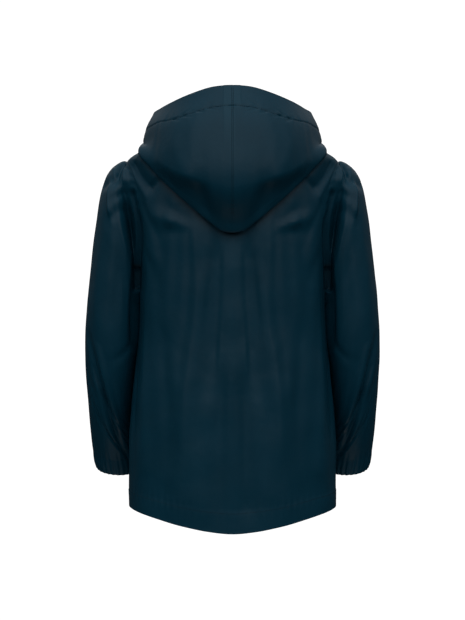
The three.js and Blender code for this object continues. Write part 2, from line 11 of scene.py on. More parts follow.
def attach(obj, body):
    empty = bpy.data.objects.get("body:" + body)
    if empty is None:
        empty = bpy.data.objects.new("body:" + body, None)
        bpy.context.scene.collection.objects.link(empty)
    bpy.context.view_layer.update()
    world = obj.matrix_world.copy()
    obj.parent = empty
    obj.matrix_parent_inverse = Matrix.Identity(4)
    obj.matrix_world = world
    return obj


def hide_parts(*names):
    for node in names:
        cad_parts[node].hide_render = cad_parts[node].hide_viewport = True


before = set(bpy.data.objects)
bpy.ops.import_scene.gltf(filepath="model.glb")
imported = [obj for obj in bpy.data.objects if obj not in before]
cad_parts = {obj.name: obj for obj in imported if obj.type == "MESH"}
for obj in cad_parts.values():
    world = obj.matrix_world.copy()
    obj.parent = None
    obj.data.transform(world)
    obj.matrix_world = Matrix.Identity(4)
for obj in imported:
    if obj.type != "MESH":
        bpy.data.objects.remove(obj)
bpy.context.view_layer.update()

bl_info = {
    "name": "Kids raincoat",
    "version": (1, 0, 0),
    "blender": (4, 5, 0),
    "location": "View3D > Sidebar > Raincoat",
    "description": "Sews the pieces of a hooded raincoat onto its frame",
    "category": "Mesh",
}

MM = 0.001
SIDES = (("left", 1), ("right", -1))

# The coat's form, in millimetres, which follows the frame to within a few of them
SEAM_GAP = 0.3
# The share of that gap that is left between the shells of the back and the fronts
SEAM_SHOWN = 0.1
# The body: levels are heights at the side seams, and the tail and the neck go down and up from them
HEM_LEVEL = -532
HEM_DEPTH = 25
NECK_LEVEL = 24
UNDERARM_LEVEL = -208
SHOULDER_LEVEL = -18
ARMHOLE_MIDDLE = (UNDERARM_LEVEL + SHOULDER_LEVEL) / 2
ARMHOLE_HALF = (SHOULDER_LEVEL - UNDERARM_LEVEL) / 2
SECTION_POWER = 2.4
TAIL_DROP = 32
TAIL_FADE = 260
DRAPE_FADE = 60
NECK_TILT_FROM = -150
NECK_TILT = 29
NECK_SCOOP = 21
# Degrees by which the armhole is cut into the back and the front, and how much more of it is high up
ARMHOLE_BACK = 20
ARMHOLE_FRONT = 22
ARMHOLE_LEAN = 0.15
# Where the sleeve's first rings dip beside the armhole, in degrees round them, and less so in front
PIT_TURN = 98
PIT_HALF = 52
PIT_IN_FRONT = 0.55
FOLD_ENDS = 0.7
# The storm flap and its studs
PLACKET_HALF_WIDTH = 24
PLACKET_CLOTH = 2
PLACKET_LIFT = 0.5
PLACKET_TOP = 15
PLACKET_STITCHES = 6
PLACKET_ROUND = 0.9
PLACKET_EDGE_DROP = 0.8
STUD_COUNT = 6
STUD_RADIUS = 6.5
STUD_TOP = -42
STUD_PITCH = 80
STUD_BASE = 1.2
STUD_EDGE = 0.35
STUD_CORNERS = 48
# The dome of the stud's cap from its rim to its middle: how far in each step goes and how far up
STUD_STEPS = ((0.9, -0.35), (0.25, 0.45), (1.2, 0.42), (1.6, 0.2), (1.4, 0.06))
# The cuffs
CUFF_GATHERS = 26
CUFF_SWELL = 0.5
GATHER_DEPTH = 1.3
# The gathers come and go round the wrist by this share, so many times, and fade up the sleeve
GATHER_UNEVEN = 0.25
GATHER_TURNS = 5
GATHER_FADE = 16
# The hood's first rails: how high it stands over the neck seam, and how far inside it and leaning out
HOOD_STAND = 7
HOOD_SHRINK = 0.8
STAND_LEAN = 1.5
THROAT_ANGLE = 172
LAST_RAIL = 9
# Stitches: how far above the cloth, width, height for it, and length for their pitch
THREAD_LIFT = 0.1
STITCH_WIDTH = 0.75
STITCH_FLATNESS = 0.7
STITCH_SHARE = 0.74
# Edges sharper than this, in degrees, stay sharp
CLOTH_SHARP_ANGLE = 50
STUD_SHARP_ANGLE = 35

# Lines of each grid: below, beside and above the armholes, and across
BACK_LINES = (110, 64, 14, 181)
FRONT_LINES = (100, 60, 14, 91)
# Up and across
PLACKET_LINES = (150, 33)
# Down, and for each gather
CUFF_LINES = (15, 14)
SLEEVE_COLUMNS = 144
# Where each stretch of lines ends, and how many it has: the sleeve's rings, then the hood's rails and angles
SLEEVE_LINES = ((2, 28), (9, 64), (14, 84))
HOOD_LINES = ((4, 34), (6, 22), (8, 60), (LAST_RAIL, 44))
HOOD_ANGLES = ((12, 21), (THROAT_ANGLE, 92))

# level at the side seam, half width, depth behind, depth in front
BODY = np.array([
    (-532, 154.5, 112, 106),
    (-507, 154.8, 112, 106),
    (-445, 155, 111, 105),
    (-380, 151, 109, 103),
    (-325, 145.5, 106, 101),
    (-285, 140.8, 103, 99),
    (-240, 138.8, 101, 97),
    (-208, 139.2, 100, 96),
    (-170, 141.5, 99, 94),
    (-127, 146, 98, 91),
    (-90, 151, 95, 87),
    (-58, 155.5, 91, 82),
    (-35, 158, 86, 76),
    (-18, 157, 80, 70),
    (-6, 139, 74, 66),
    (8, 106, 67, 61),
    (24, 68, 58, 55),
])

# top, bottom, angle at the top, angle at the bottom, half angle, height
BODY_DRAPES = (
    (-120, -400, 0, 0, 9, 3),
    (-105, -390, 13, 21, 9, -3.5),
    (-95, -560, 27, 38, 12, 3),
    (-300, -575, 9, 13, 11, -2.5),
    (-70, -540, 47, 56, 12, -3),
    (-40, -300, 58, 68, 10, 3),
    (-260, -560, 112, 110, 12, -3.5),
    (-100, -560, 136, 132, 13, 3.5),
    (-180, -560, 152, 155, 10, -2.5),
)

# outer x and z, inner x and z, middle y, depth behind, depth in front, pit, pitch
SLEEVE = np.array([
    (163, -17, 140.8, -205.8, 0, 44, 48, 30, 0),
    (173, -22, 141.4, -209, 0, 44, 50, 9, 0),
    (184, -31.5, 141.6, -214, 0, 46, 51, 0, 0),
    (192.5, -48, 141.2, -220, 0, 47, 51, 0, 0),
    (199.5, -74, 140.8, -228, -1, 48, 51, 0, 0),
    (205, -112, 140.5, -240, -2, 48, 50, 0, 0),
    (210.5, -156, 140.4, -256, -3, 49, 50, 0, 0),
    (216, -206, 141.2, -278, -4, 49, 50, 0, 1),
    (220, -254, 143.9, -306, -6, 49, 49, 0, 3),
    (221.6, -298, 147.5, -336, -10, 48, 48, 0, 6),
    (220.6, -342, 150.9, -368, -18, 46, 46, 0, 10),
    (218, -386, 152.4, -402, -30, 43, 43, 0, 14),
    (215.4, -428, 150, -436, -46, 38, 38, 0, 18),
    (213.2, -454, 147, -460, -56, 33.5, 33.5, 0, 19),
])

# share of the way down, outer x and z, inner x and z, middle y, depth, pitch, gather
CUFF = np.array([
    (0, 213.2, -454.05, 147, -460.05, -56.05, 33.5, 19, 0.6),
    (0.5, 211.8, -467.5, 145, -472.5, -61, 32, 19.3, 1),
    (1, 209, -478.8, 145.5, -482.8, -65, 30.6, 19.6, 1),
])

# first ring and angle, last ring and angle, half angle, height
SLEEVE_FOLDS = (
    (9.2, 32, 13.2, 128, 15, -5),
    (11, 70, 14, 138, 13, -4),
    (9.4, 62, 12.4, 122, 16, 4),
    (9.5, 322, 13.4, 250, 17, -4),
    (8.4, 215, 10.8, 292, 17, -5),
    (3.4, 150, 9, 150, 26, -10),
    (0.6, 180, 5.4, 180, 40, 5),
    (3, 180, 10, 180, 34, 2.6),
    (9.6, 180, 13.8, 180, 34, 1.8),
    (0.4, 38, 4.6, 52, 18, 3.5),
    (0.4, 322, 4.2, 306, 18, 3),
)

# The deep fold where the hanging sleeve falls in beside the back of its armhole: height, how far its inner
# and its outer edge are from the coat's middle, how far behind the middle plane its floor is, in millimetres,
# and how much of it there is
RECESS = np.array([
    (-330, 141, 145, 8, 0),
    (-290, 140, 147, 8, 1),
    (-232, 137, 149, 14, 1),
    (-214, 135, 150, 18, 1),
    (-209, 134.5, 150.5, 3, 1),
    (-179, 133.5, 151, 6, 1),
    (-173, 133, 151, 14, 1),
    (-152, 131.5, 150, 20, 1),
    (-125, 130.5, 149, 26, 1),
    (-108, 132.5, 147, 30, 1),
    (-92, 138, 155, 32, 1),
    (-66, 142.5, 158, 34, 1),
    (-61, 143.5, 158.5, 36, 0),
])
# Its edges' width, how far its inner edge takes to run out, and from where down the sleeve has none
RECESS_EDGE = 4
RECESS_RUN_OUT = 14
SLEEVE_FALL_TOP = -186

# angle, fold's angle, level and lift, then the belly, the upper line and the brim
HOOD = (
    (0, 0, -125, 19, (0, 143, -60), (0, 129.5, 21), (0, 93, 86.6)),
    (15, 17, -113, 19, (33, 139.5, -56), (30, 126, 23), (28, 91, 84.6)),
    (30, 36, -83, 18, (66, 129, -45), (60, 117, 25), (56, 83, 77)),
    (50, 52, -54, 16, (98, 105, -29), (89, 97, 25), (84, 67, 67)),
    (70, 67, -23, 11, (121, 67, 0), (111.5, 63, 33), (105, 43, 58.5)),
    (90, 87, 8, 8.5, (132.5, 16, 9), (127, 16, 33), (118, 10, 52)),
    (112, 111, 0, 14, (116, -46, 10), (113, -43, 24), (104, -36, 37)),
    (135, 135, -7, 14, (72, -76, -13), (72, -76, 4), (67, -68, 19)),
    (155, 155, 0, 14, (36, -85, -26), (37, -86, -10), (36, -79, 5)),
    (172, 172, 6, 14, (11, -85, -31), (12, -87, -16), (13, -82, -1)),
)

# The layer beneath: share of the way to the fold, lift off the body, and the fold's share of it
HOOD_UNDER = ((0.22, 8, 0), (0.6, 5, 0), (0.94, 3.5, 0), (1.03, 1, 0.5), (0.94, 0, 1))
# angle, half angle, rail, half rail, height
HOOD_HOLLOWS = ((25, 13, 6.45, 0.6, -3.7), (0, 9, 6.5, 0.6, 1.5))

# across from the centre seam, the hem's depth there
HOOD_HEM = np.array([(0, 37), (35, 37), (64, 39), (95, 38), (130, 32), (180, 30)])

# Creases: across and up at one end, the same at the other, half width, height and bow, in millimetres.
# Across is along the cloth from the piece's middle line and up is the height, or the way from the brim.
BACK_CREASES = (
    (36, -150, 54, -335, 13, 2, -5),
    (20, -160, 34, -360, 9, -1.6, 4),
    (66, -112, 80, -330, 11, -1.9, 6),
    (88, -90, 104, -300, 13, 2.2, -4),
    (78, -114, 108, -105, 12, 5.4, 0),
    (140, -88, 112, -150, 9, -1.6, 5),
    (146, -150, 120, -215, 11, -1.3, 6),
    (26, -300, 22, -520, 13, -1.9, 4),
    (64, -300, 60, -505, 15, 2.2, -6),
    (108, -280, 100, -500, 14, -2, 5),
    (148, -230, 140, -470, 12, 1.8, -4),
    (180, -260, 172, -480, 10, -1.6, 3),
)
# Sharp folds with flat sides, of the same form
BACK_FACETS = (
    (158, -24, 126, -60, 15, -4.5, -2),
    (126, -60, 110, -50, 8, -2.5, 0),
    (162, -40, 134, -72, 6, 1.6, 1),
)
FRONT_CREASES = (
    (-40, -90, -52, -260, 14, -1.3, 4),
    (-84, -80, -70, -300, 16, 1.4, -5),
    (-118, -60, -100, -170, 10, -1.7, 4),
    (-150, -120, -118, -210, 11, -1.4, 5),
    (-60, -280, -64, -500, 18, 1.5, 5),
    (-110, -250, -104, -490, 17, -1.4, -5),
    (-160, -240, -150, -470, 13, 1.2, 3),
)
# angle round the sleeve and millimetres down it, the same at the other end, half width, height and bow
SLEEVE_CREASES = (
    (20, 8, 48, 40, 6, -2.4, 3),
    (46, 4, 62, 52, 6, 2.2, -3),
    (62, 14, 50, 62, 5, -1.9, 2),
    (78, 34, 58, 84, 7, -1.6, 3),
    (34, 44, 66, 76, 6, 1.8, 2),
    (96, 96, 88, 190, 9, -1.2, 5),
    (52, 120, 60, 250, 14, 1.2, -6),
    (330, 14, 300, 70, 8, -1.6, 3),
    (300, 40, 290, 130, 10, 1.3, 3),
)
# Sharp folds of the same form, at the sleeve's head
SLEEVE_FACETS = (
    (12, 3, 36, 24, 6, -3.4, 0),
    (34, 12, 56, 22, 8, 3, 0),
    (20, 54, 52, 23, 10, -3.2, -1),
    (40, 42, 58, 66, 7, 2.4, 1),
    (18, 26, 34, 30, 6, 1.8, 0),
    (344, 12, 326, 40, 8, -2.2, 1),
    (338, 20, 316, 30, 8, 2.4, 0),
    (318, 44, 300, 70, 9, -2, 1),
)
# Creases again, but with millimetres up from the cuff
FOREARM_CREASES = (
    (50, 150, 152, 30, 3.4, -2.6, 4),
    (58, 126, 146, 36, 8, 1.3, 4),
    (60, 74, 130, 8, 3, -2, 2),
    (56, 92, 108, 24, 3, -1.3, 2),
    (112, 62, 152, 18, 2.8, -1.5, 1),
    (36, 120, 84, 40, 4, -1.1, 4),
    (128, 78, 160, 44, 3, -1.2, 1),
    (18, 160, 60, 104, 6, -1, 4),
    (310, 140, 212, 34, 4, -2.3, 4),
    (304, 118, 220, 40, 8, 1.2, 4),
    (300, 78, 236, 12, 3.4, -1.7, 2),
    (334, 150, 286, 92, 5, -1.2, 4),
    (214, 190, 280, 150, 9, -1.6, 4),
    (150, 196, 96, 168, 9, -1.3, -4),
)
# across from the centre seam and down from the brim, the same at the other end, and so on
HOOD_CREASES = (
    (46, 118, 40, 236, 15, -2.6, 4),
    (88, 90, 70, 200, 16, 1.2, -5),
    (16, 120, 12, 240, 9, 0.9, 1),
    (104, 100, 112, 168, 11, -1.2, 4),
    (24, 27, 42, 40, 2.2, -1.5, 1),
    (22, 44, 36, 36, 2.2, -1.1, 0),
    (40, 44, 54, 37, 2.4, -1.2, 0),
    (50, 30, 58, 42, 2.6, -1, 0),
    (66, 32, 84, 44, 2.4, -1.4, 1),
    (62, 46, 78, 38, 2.4, -1, 0),
    (84, 44, 96, 36, 2.6, -1, 0),
    (104, 28, 112, 42, 3, -0.9, 1),
    (62, 46, 84, 92, 12, -0.7, 4),
    (128, 30, 150, 110, 11, -0.9, 5),
)
# A crease runs out past its ends by this many half widths, starts low and narrow, and flares
CREASE_RUN_OUT = 1.2
CREASE_LEAST = 0.25
CREASE_ENDS = (0.08, 0.92)
CREASE_NARROW = 0.75
CREASE_FLARE = 0.5
FOLD_SHARPNESS = 0.9

# The seeds that make one side's folds differ a little from the other's
OTHER_SIDE = {"back": 11, "front": 12, "sleeve": 13, "hood": 14, "back_facets": 15}
# Faint waves of limp cloth: seed, wave length and height
RIPPLES = {
    "back": (5, 85, 1.2),
    "front": (30, 85, 1.5),
    "sleeve": (50, 70, 0.9),
    "hood": (80, 60, 0.7),
    "placket": (92, 60, 0.7),
}
RIPPLE_COUNT = 9
RIPPLE_LENGTHS = (0.7, 1.5)
# Gathers along a line of stitches: seed, pitch, reach to each side and height
PUCKERS = {
    "back_hem": (21, 11, 9, 0.5),
    "front_hem": (22, 11, 9, 0.5),
    "armhole": (42, 9, 8, 0.8),
    "hood_hem": (60, 13, 9, 0.45),
    "hood_seam": (70, 6, 5, 0.5),
    "placket": (91, 12, 7, 0.35),
}
# Slow waves that make the gathers' spacing and height uneven: share, and length in pitches
PUCKER_WANDER = ((1.3, 4.1), (0.8, 1.9))
PUCKER_SWELL = ((0.3, 2.7), (0.15, 7.3))
PUCKER_LEAST = 0.55
PUCKER_SLANT = 0.35
# The crumpled head of a sleeve: seed, length of its facets and height, then where it starts and ends down
# the sleeve, and round it in degrees
HEAD_CRUMPLE = (45, 15, 3)
HEAD_FROM = (2, 12)
HEAD_TO = (40, 78)
HEAD_TURN = 50
HEAD_TURN_HALF = 85
# How crumpled cloth is drawn: crossed creases, their uneven lengths, and how they bend
CRUMPLE_COUNT = 5
CRUMPLE_LENGTHS = (0.6, 1.6)
CRUMPLE_BEND = 0.3
CRUMPLE_BEND_LENGTH = 1.7

# Shares of the panels across: flat margins at the side seams, the front under the flap, and its stitches
BACK_MARGIN = 0.05
FRONT_MARGIN = 0.07
FRONT_UNDER_FLAP = (0.16, 0.3)
FRONT_STITCHES_FROM = 0.2
# How sharply the grid bends in beside the armholes
ARMHOLE_BEND = 4
# The sleeve's length round, to which its creases are drawn, and its flat margins at armhole and cuff
SLEEVE_GIRTH = 300.0
SLEEVE_MARGINS = (9, 8)
SLEEVE_PUCKERS_FROM = 2
# How much smoother the cloth is where it lies against the body, and within how many degrees
SLEEVE_CALM = 0.9
SLEEVE_CALM_HALF = 46

# The felled allowance of the hood's centre seam, for each side: width and how far down it and the sheen
# painted on it go
HOOD_FELL = {1: (12.4, 124.8), -1: (11.4, 46.8)}
HOOD_FELL_FADE = 36
HOOD_FELL_LIFT = 0.7
# A painted sheen in a paler band beside that seam: share, and where it fades across and down
HOOD_SEAM_PAINTED_SHEEN = 0.8
HOOD_SEAM_PAINTED_SHEEN_ACROSS = (2.6, 4.4)
HOOD_SEAM_PAINTED_SHEEN_DOWN = (105, 165)
# The centre seam itself: where across the sheen painted on its fell starts, its groove, its gathers and its
# stitches
HOOD_FELL_PAINTED_SHEEN_ACROSS = (1, 2.2)
HOOD_SEAM_CLEAR = 0.05
HOOD_SEAM_GROOVE = (1, 0.4)
HOOD_SEAM_GROOVE_FROM = (26, 34)
HOOD_SEAM_PUCKERS_FROM = (80, 110)
HOOD_SEAM_PUCKERS_TO = (190, 215)
HOOD_SEAM_STITCHES = (3, 205)
# The hood's hem, and the rails between which its relief grows
HOOD_HEM_GROOVE = (0.9, 1)
HOOD_HEM_LIFT = 0.6
HOOD_SHOWN_RAILS = (5.2, 6.2)
HOOD_NECK_RAILS = (0, 0.6)
HOOD_UNDER_RELIEF = 0.25
# The second layer of the body's hem, and the width of a hem's step
BODY_HEM_LIFT = 0.5
HEM_STEP = 0.8

# Spans of the materials' patterns in millimetres
CLOTH_CLOUD = 62.5
CLOTH_GLOSS = 33.3
CLOTH_GRAIN = 1.43
CLOTH_RUMPLE = 13.3
THREAD_TWIST = 0.67
LACQUER_WEAR = 3.85
PAPER_TOOTH = 25


def hex_to_linear(code):
    """The linear colour of an sRGB hex value."""
    parts = [int(code[k:k + 2], 16) / 255 for k in (1, 3, 5)]
    return tuple(p / 12.92 if p <= 0.04045 else ((p + 0.055) / 1.055) ** 2.4 for p in parts)


# Curves and surfaces


def mix(a, b, t):
    return a + (b - a) * t


def hill(distance, half):
    """A smooth hill, 1 in the middle and 0 from the edge on."""
    t = np.clip(1 - np.abs(distance) / half, 0, 1)
    return t * t * (3 - 2 * t)


def through(knots, values, at):
    """A smooth curve through values at knots, straight past its ends."""
    knots = np.asarray(knots, float)
    values = np.asarray(values, float)
    at = np.asarray(at, float)
    last = len(knots) - 1
    before = np.maximum(np.arange(last + 1) - 1, 0)
    after = np.minimum(np.arange(last + 1) + 1, last)
    shape = (-1,) + (1,) * (values.ndim - 1)
    slopes = (values[after] - values[before]) / (knots[after] - knots[before]).reshape(shape)
    i = np.clip(np.searchsorted(knots, at, side="right") - 1, 0, last - 1)
    wide = at.shape + (1,) * (values.ndim - 1)
    span = (knots[i + 1] - knots[i]).reshape(wide)
    t = np.clip(((at - knots[i]) / (knots[i + 1] - knots[i])), 0, 1).reshape(wide)
    rise = t * t * (3 - 2 * t)
    curve = values[i] * (1 - rise) + values[i + 1] * rise
    curve = curve + slopes[i] * t * (1 - t) ** 2 * span + slopes[i + 1] * t * t * (t - 1) * span
    below = np.minimum(at - knots[0], 0).reshape(wide) * slopes[0]
    above = np.maximum(at - knots[last], 0).reshape(wide) * slopes[last]
    return curve + below + above


def body_drape(degrees, level):
    """How far the body's broad folds stand out."""
    total = np.zeros(np.broadcast(degrees, level).shape)
    for top, bottom, top_angle, bottom_angle, half_angle, height in BODY_DRAPES:
        down = (top - level) / (top - bottom)
        on_height = np.clip((top - level) / DRAPE_FADE, 0, 1) * np.clip((level - bottom) / DRAPE_FADE, 0, 1)
        away = np.abs(degrees) - mix(top_angle, bottom_angle, down)
        total = total + height * hill(away, half_angle) * on_height
    return total


def body_point(degrees, level):
    """Points of the body's outer face. degrees is from the centre back, + to the wearer's left."""
    degrees, level = np.broadcast_arrays(np.asarray(degrees, float), np.asarray(level, float))
    sin = np.sin(np.radians(degrees))
    cos = np.cos(np.radians(degrees))
    half_width, back, front = (through(BODY[:, 0], BODY[:, k], level) for k in (1, 2, 3))
    depth = np.where(cos > 0, back, front)
    section = (np.abs(sin) / half_width) ** SECTION_POWER + (np.abs(cos) / depth) ** SECTION_POWER
    radius = section ** (-1 / SECTION_POWER) + body_drape(degrees, level)
    sag = np.clip(1 - (level - HEM_LEVEL) / TAIL_FADE, 0, None) ** 2
    tail = np.where(cos > 0, TAIL_DROP * cos * cos * np.minimum(sag, 1), 0)
    tilt = np.clip((level - NECK_TILT_FROM) / (NECK_LEVEL - NECK_TILT_FROM), 0, 1) ** 2
    neck = tilt * (NECK_TILT * cos - NECK_SCOOP * cos * cos)
    return np.stack([radius * sin, radius * cos, level - tail + neck], -1)


def unit(vectors):
    return vectors / np.maximum(np.linalg.norm(vectors, axis=-1, keepdims=True), 1e-9)


def body_normal(degrees, level, step=0.4):
    across = body_point(degrees + step, level) - body_point(degrees - step, level)
    up = body_point(degrees, level + step) - body_point(degrees, level - step)
    return unit(np.cross(up, across))


def on_body(degrees, level, lift):
    lift = np.asarray(lift, float)[..., None]
    return body_point(degrees, level) + body_normal(degrees, level) * lift


def armhole_cut(turn, widest):
    """How far the armhole's edge is from the side, in degrees, at a turn of 0 above to 180 below."""
    return widest * np.sin(np.radians(turn)) * (1 + ARMHOLE_LEAN * np.cos(np.radians(turn)))


def gap_angle(level):
    return np.degrees(SEAM_GAP / 2 / through(BODY[:, 0], BODY[:, 1], level))


def body_rows(below, beside, above):
    """Levels from hem to neck, and the armhole's turn at each."""
    turns = np.linspace(180, 0, beside)
    levels = np.concatenate([
        np.linspace(HEM_LEVEL, UNDERARM_LEVEL, below)[:-1],
        ARMHOLE_MIDDLE + ARMHOLE_HALF * np.cos(np.radians(turns)),
        np.linspace(SHOULDER_LEVEL, NECK_LEVEL, above)[1:],
    ])
    turns = np.concatenate([np.full(below - 1, 180.0), turns, np.zeros(above - 1)])
    return levels, turns


def ring_points(ring, degrees):
    """Points of a table ring: 0 outside, 90 behind, 180 inside, 270 in front."""
    out_x, out_z, in_x, in_z, mid_y, back, front, pit, pitch = ring
    sin = np.sin(np.radians(degrees))
    share = (1 + np.cos(np.radians(degrees))) / 2
    turn = np.where(degrees <= 180, degrees, 360 - degrees)
    fall = pit * hill(turn - PIT_TURN, PIT_HALF) * np.where(degrees <= 180, 1, PIT_IN_FRONT)
    depth = np.where(sin > 0, back, front) * sin - np.sign(sin) * fall
    lean = math.radians(pitch)
    return np.stack([
        mix(in_x, out_x, share),
        mid_y + depth * math.cos(lean),
        mix(in_z, out_z, share) - depth * math.sin(lean),
    ], -1)


def armhole_points(degrees):
    """The sleeve's edge in the armhole, on the body's surface."""
    behind = degrees <= 180
    turn = np.where(behind, degrees, 360 - degrees)
    level = ARMHOLE_MIDDLE + (ARMHOLE_HALF - SEAM_GAP) * np.cos(np.radians(turn))
    cut = armhole_cut(turn, np.where(behind, ARMHOLE_BACK, ARMHOLE_FRONT))
    cut = cut - gap_angle(level) * np.sin(np.radians(turn))
    return body_point(np.where(behind, 90 - cut, 90 + cut), level)


def sleeve_points(degrees, rings):
    """The sleeve's surface, one row for each ring."""
    lines = np.stack([armhole_points(degrees), *(ring_points(row, degrees) for row in SLEEVE)])
    return through(np.arange(len(lines)), lines, rings)


def sleeve_folds(degrees, rings):
    total = np.zeros((len(rings), len(degrees)))
    for ring0, angle0, ring1, angle1, half_angle, height in SLEEVE_FOLDS:
        t = (rings[:, None] - ring0) / (ring1 - ring0)
        away = (degrees[None, :] - mix(angle0, angle1, t) + 540) % 360 - 180
        rise = np.sin(np.pi * np.clip(t, 0, 1)) ** FOLD_ENDS
        total += height * hill(away, half_angle) * rise
    return total


def recess(points, whole_below=None):
    """How far the cloth beside the armhole's seam falls in, and how much of each point is in that fold.

    Below a height, whole_below, the fold has no inner edge, for the sleeve's side of it.
    """
    height = points[..., 2]
    inner, outer, floor, share = (np.interp(height, RECESS[:, 0], RECESS[:, k]) for k in (1, 2, 3, 4))
    out = np.abs(points[..., 0])
    inside = smooth_step(out - inner, 0, RECESS_EDGE)
    if whole_below is not None:
        inside = mix(inside, 1, smooth_step(whole_below - height, 0, RECESS_RUN_OUT))
    weight = share * smooth_step(outer - out, 0, RECESS_EDGE) * inside * (points[..., 1] > 0)
    return weight * np.maximum(points[..., 1] - floor, 0), weight


def hood_columns(column, degrees):
    """A column of the hood's table at angles, mirrored past the centre seam so that it crosses it level."""
    rows = [HOOD[2], HOOD[1], *HOOD]
    signs = [-1, -1] + [1] * len(HOOD)
    knots = [sign * row[0] for row, sign in zip(rows, signs)]
    values = []
    for row, sign in zip(rows, signs):
        value = row[column]
        if column >= 4:
            values.append((sign * value[0], value[1], value[2]))
        else:
            values.append(sign * value if column == 1 else value)
    return through(knots, values, degrees)


def hood_rails(degrees):
    """The hood's ten rails at angles, from the neck seam under the hood, round its fold to the brim."""
    seam = body_point(degrees, NECK_LEVEL)
    inward = unit(np.stack([-seam[:, 0], -seam[:, 1], np.zeros(len(degrees))], -1))
    seam = seam + inward * HOOD_SHRINK
    fold_angle, fold_level, fold_lift = (hood_columns(k, degrees) for k in (1, 2, 3))
    under = [
        on_body(mix(degrees, fold_angle, share), mix(NECK_LEVEL, fold_level, share), rest + fold * fold_lift)
        for share, rest, fold in HOOD_UNDER
    ]
    return np.stack([
        seam,
        seam - inward * STAND_LEAN + np.array([0, 0, HOOD_STAND]),
        *under,
        hood_columns(4, degrees),
        hood_columns(5, degrees),
        hood_columns(6, degrees),
    ])


def hood_points(degrees, rails):
    """The hood's surface. Whole numbers in rails are its rails, and between them it goes by length."""
    lines = hood_rails(degrees)
    grid = np.zeros((len(rails), len(degrees), 3))
    before = np.clip(np.floor(rails).astype(int), 0, LAST_RAIL - 1)
    for column in range(len(degrees)):
        points = lines[:, column]
        steps = np.linalg.norm(np.diff(points, axis=0), axis=-1)
        lengths = np.concatenate([[0], np.cumsum(steps)])
        at = mix(lengths[before], lengths[before + 1], rails - before)
        grid[:, column] = through(lengths, points, at)
    return grid


def spaced(stretches):
    """Lines from 0 on. Each stretch has its end and how many lines it takes, with its first and last."""
    start = 0
    lines = [np.zeros(1)]
    for end, count in stretches:
        lines.append(np.linspace(start, end, count)[1:])
        start = end
    return np.concatenate(lines)


# Relief of the cloth


def grid_normals(points, around=False):
    """Unit normals of a grid, on the side of up x across."""
    if around:
        across = np.roll(points, -1, 1) - np.roll(points, 1, 1)
    else:
        across = np.gradient(points, axis=1)
    up = np.gradient(points, axis=0)
    return unit(np.cross(up, across))


def along_rows(points, start=0):
    """How far each point is along its row from a column, in millimetres."""
    steps = np.linalg.norm(np.diff(points, axis=1), axis=-1)
    lengths = np.concatenate([np.zeros((len(points), 1)), np.cumsum(steps, 1)], 1)
    return lengths - lengths[:, start:start + 1]


def along_columns(points, start=0):
    """How far each point is along its column from a row, in millimetres."""
    return along_rows(points.transpose(1, 0, 2), start).T


def fold_line(distance, half):
    """A fold's cross section: a round middle with a low shoulder of the other sense on each side."""
    q = FOLD_SHARPNESS * (distance / half) ** 2
    return (1 - q) * np.exp(-q)


def creases(across, up, table, girth=None):
    """The height that a table of creases gives. girth is the length of a full round, for a tube."""
    total = np.zeros(across.shape)
    for a0, u0, a1, u1, half, height, bow in table:
        length = math.hypot(a1 - a0, u1 - u0)
        da, du = (a1 - a0) / length, (u1 - u0) / length
        off = across - a0
        if girth is not None:
            middle = (a1 - a0) / 2
            off = (off - middle + girth / 2) % girth - girth / 2 + middle
        along = off * da + (up - u0) * du
        share = np.clip(along / length, 0, 1)
        beside = off * du - (up - u0) * da - bow * np.sin(np.pi * share)
        past = np.maximum(np.abs(along - length / 2) - length / 2, 0)
        swell = CREASE_LEAST + (1 - CREASE_LEAST) * np.sin(np.pi * np.clip(share, *CREASE_ENDS))
        ends = np.exp(-((past / (half * CREASE_RUN_OUT)) ** 2)) * swell
        width = half * (CREASE_NARROW + CREASE_FLARE * share)
        total += height * fold_line(beside, width) * ends
    return total


def facets(across, up, table):
    """Sharp folds with flat sides, in a table of the same form as the creases."""
    total = np.zeros(np.broadcast(across, up).shape)
    for a0, u0, a1, u1, half, height, bow in table:
        length = math.hypot(a1 - a0, u1 - u0)
        da, du = (a1 - a0) / length, (u1 - u0) / length
        along = (across - a0) * da + (up - u0) * du
        share = np.clip(along / length, 0, 1)
        beside = np.abs((across - a0) * du - (up - u0) * da - bow * np.sin(np.pi * share))
        past = np.maximum(np.abs(along - length / 2) - length / 2, 0)
        total += height * np.clip(1 - beside / half, 0, 1) * np.clip(1 - past / half, 0, 1)
    return total


def uneven(table, seed, slide=3.0, spread=0.14):
    """The table for the other side: the same folds, none quite alike."""
    draw = np.random.default_rng(seed)
    rows = []
    for a0, u0, a1, u1, half, height, bow in table:
        move = draw.uniform(-slide, slide, 4)
        scale = draw.uniform(1 - spread, 1 + spread, 3)
        rows.append((a0 + move[0] / 2, u0 + move[1], a1 + move[2] / 2, u1 + move[3],
                     half * scale[0], height * scale[1], bow * scale[2]))
    return tuple(rows)


def ripple(across, up, name, side=0):
    """Faint unevenness of limp cloth: a few crossed waves of about one length."""
    seed, wave, height = RIPPLES[name]
    draw = np.random.default_rng(seed + side)
    total = np.zeros(across.shape)
    for _ in range(RIPPLE_COUNT):
        angle = draw.uniform(0, math.pi)
        length = wave * draw.uniform(*RIPPLE_LENGTHS)
        phase = draw.uniform(0, 2 * math.pi)
        total += np.sin(2 * math.pi * (across * math.cos(angle) + up * math.sin(angle)) / length + phase)
    return total * height / RIPPLE_COUNT


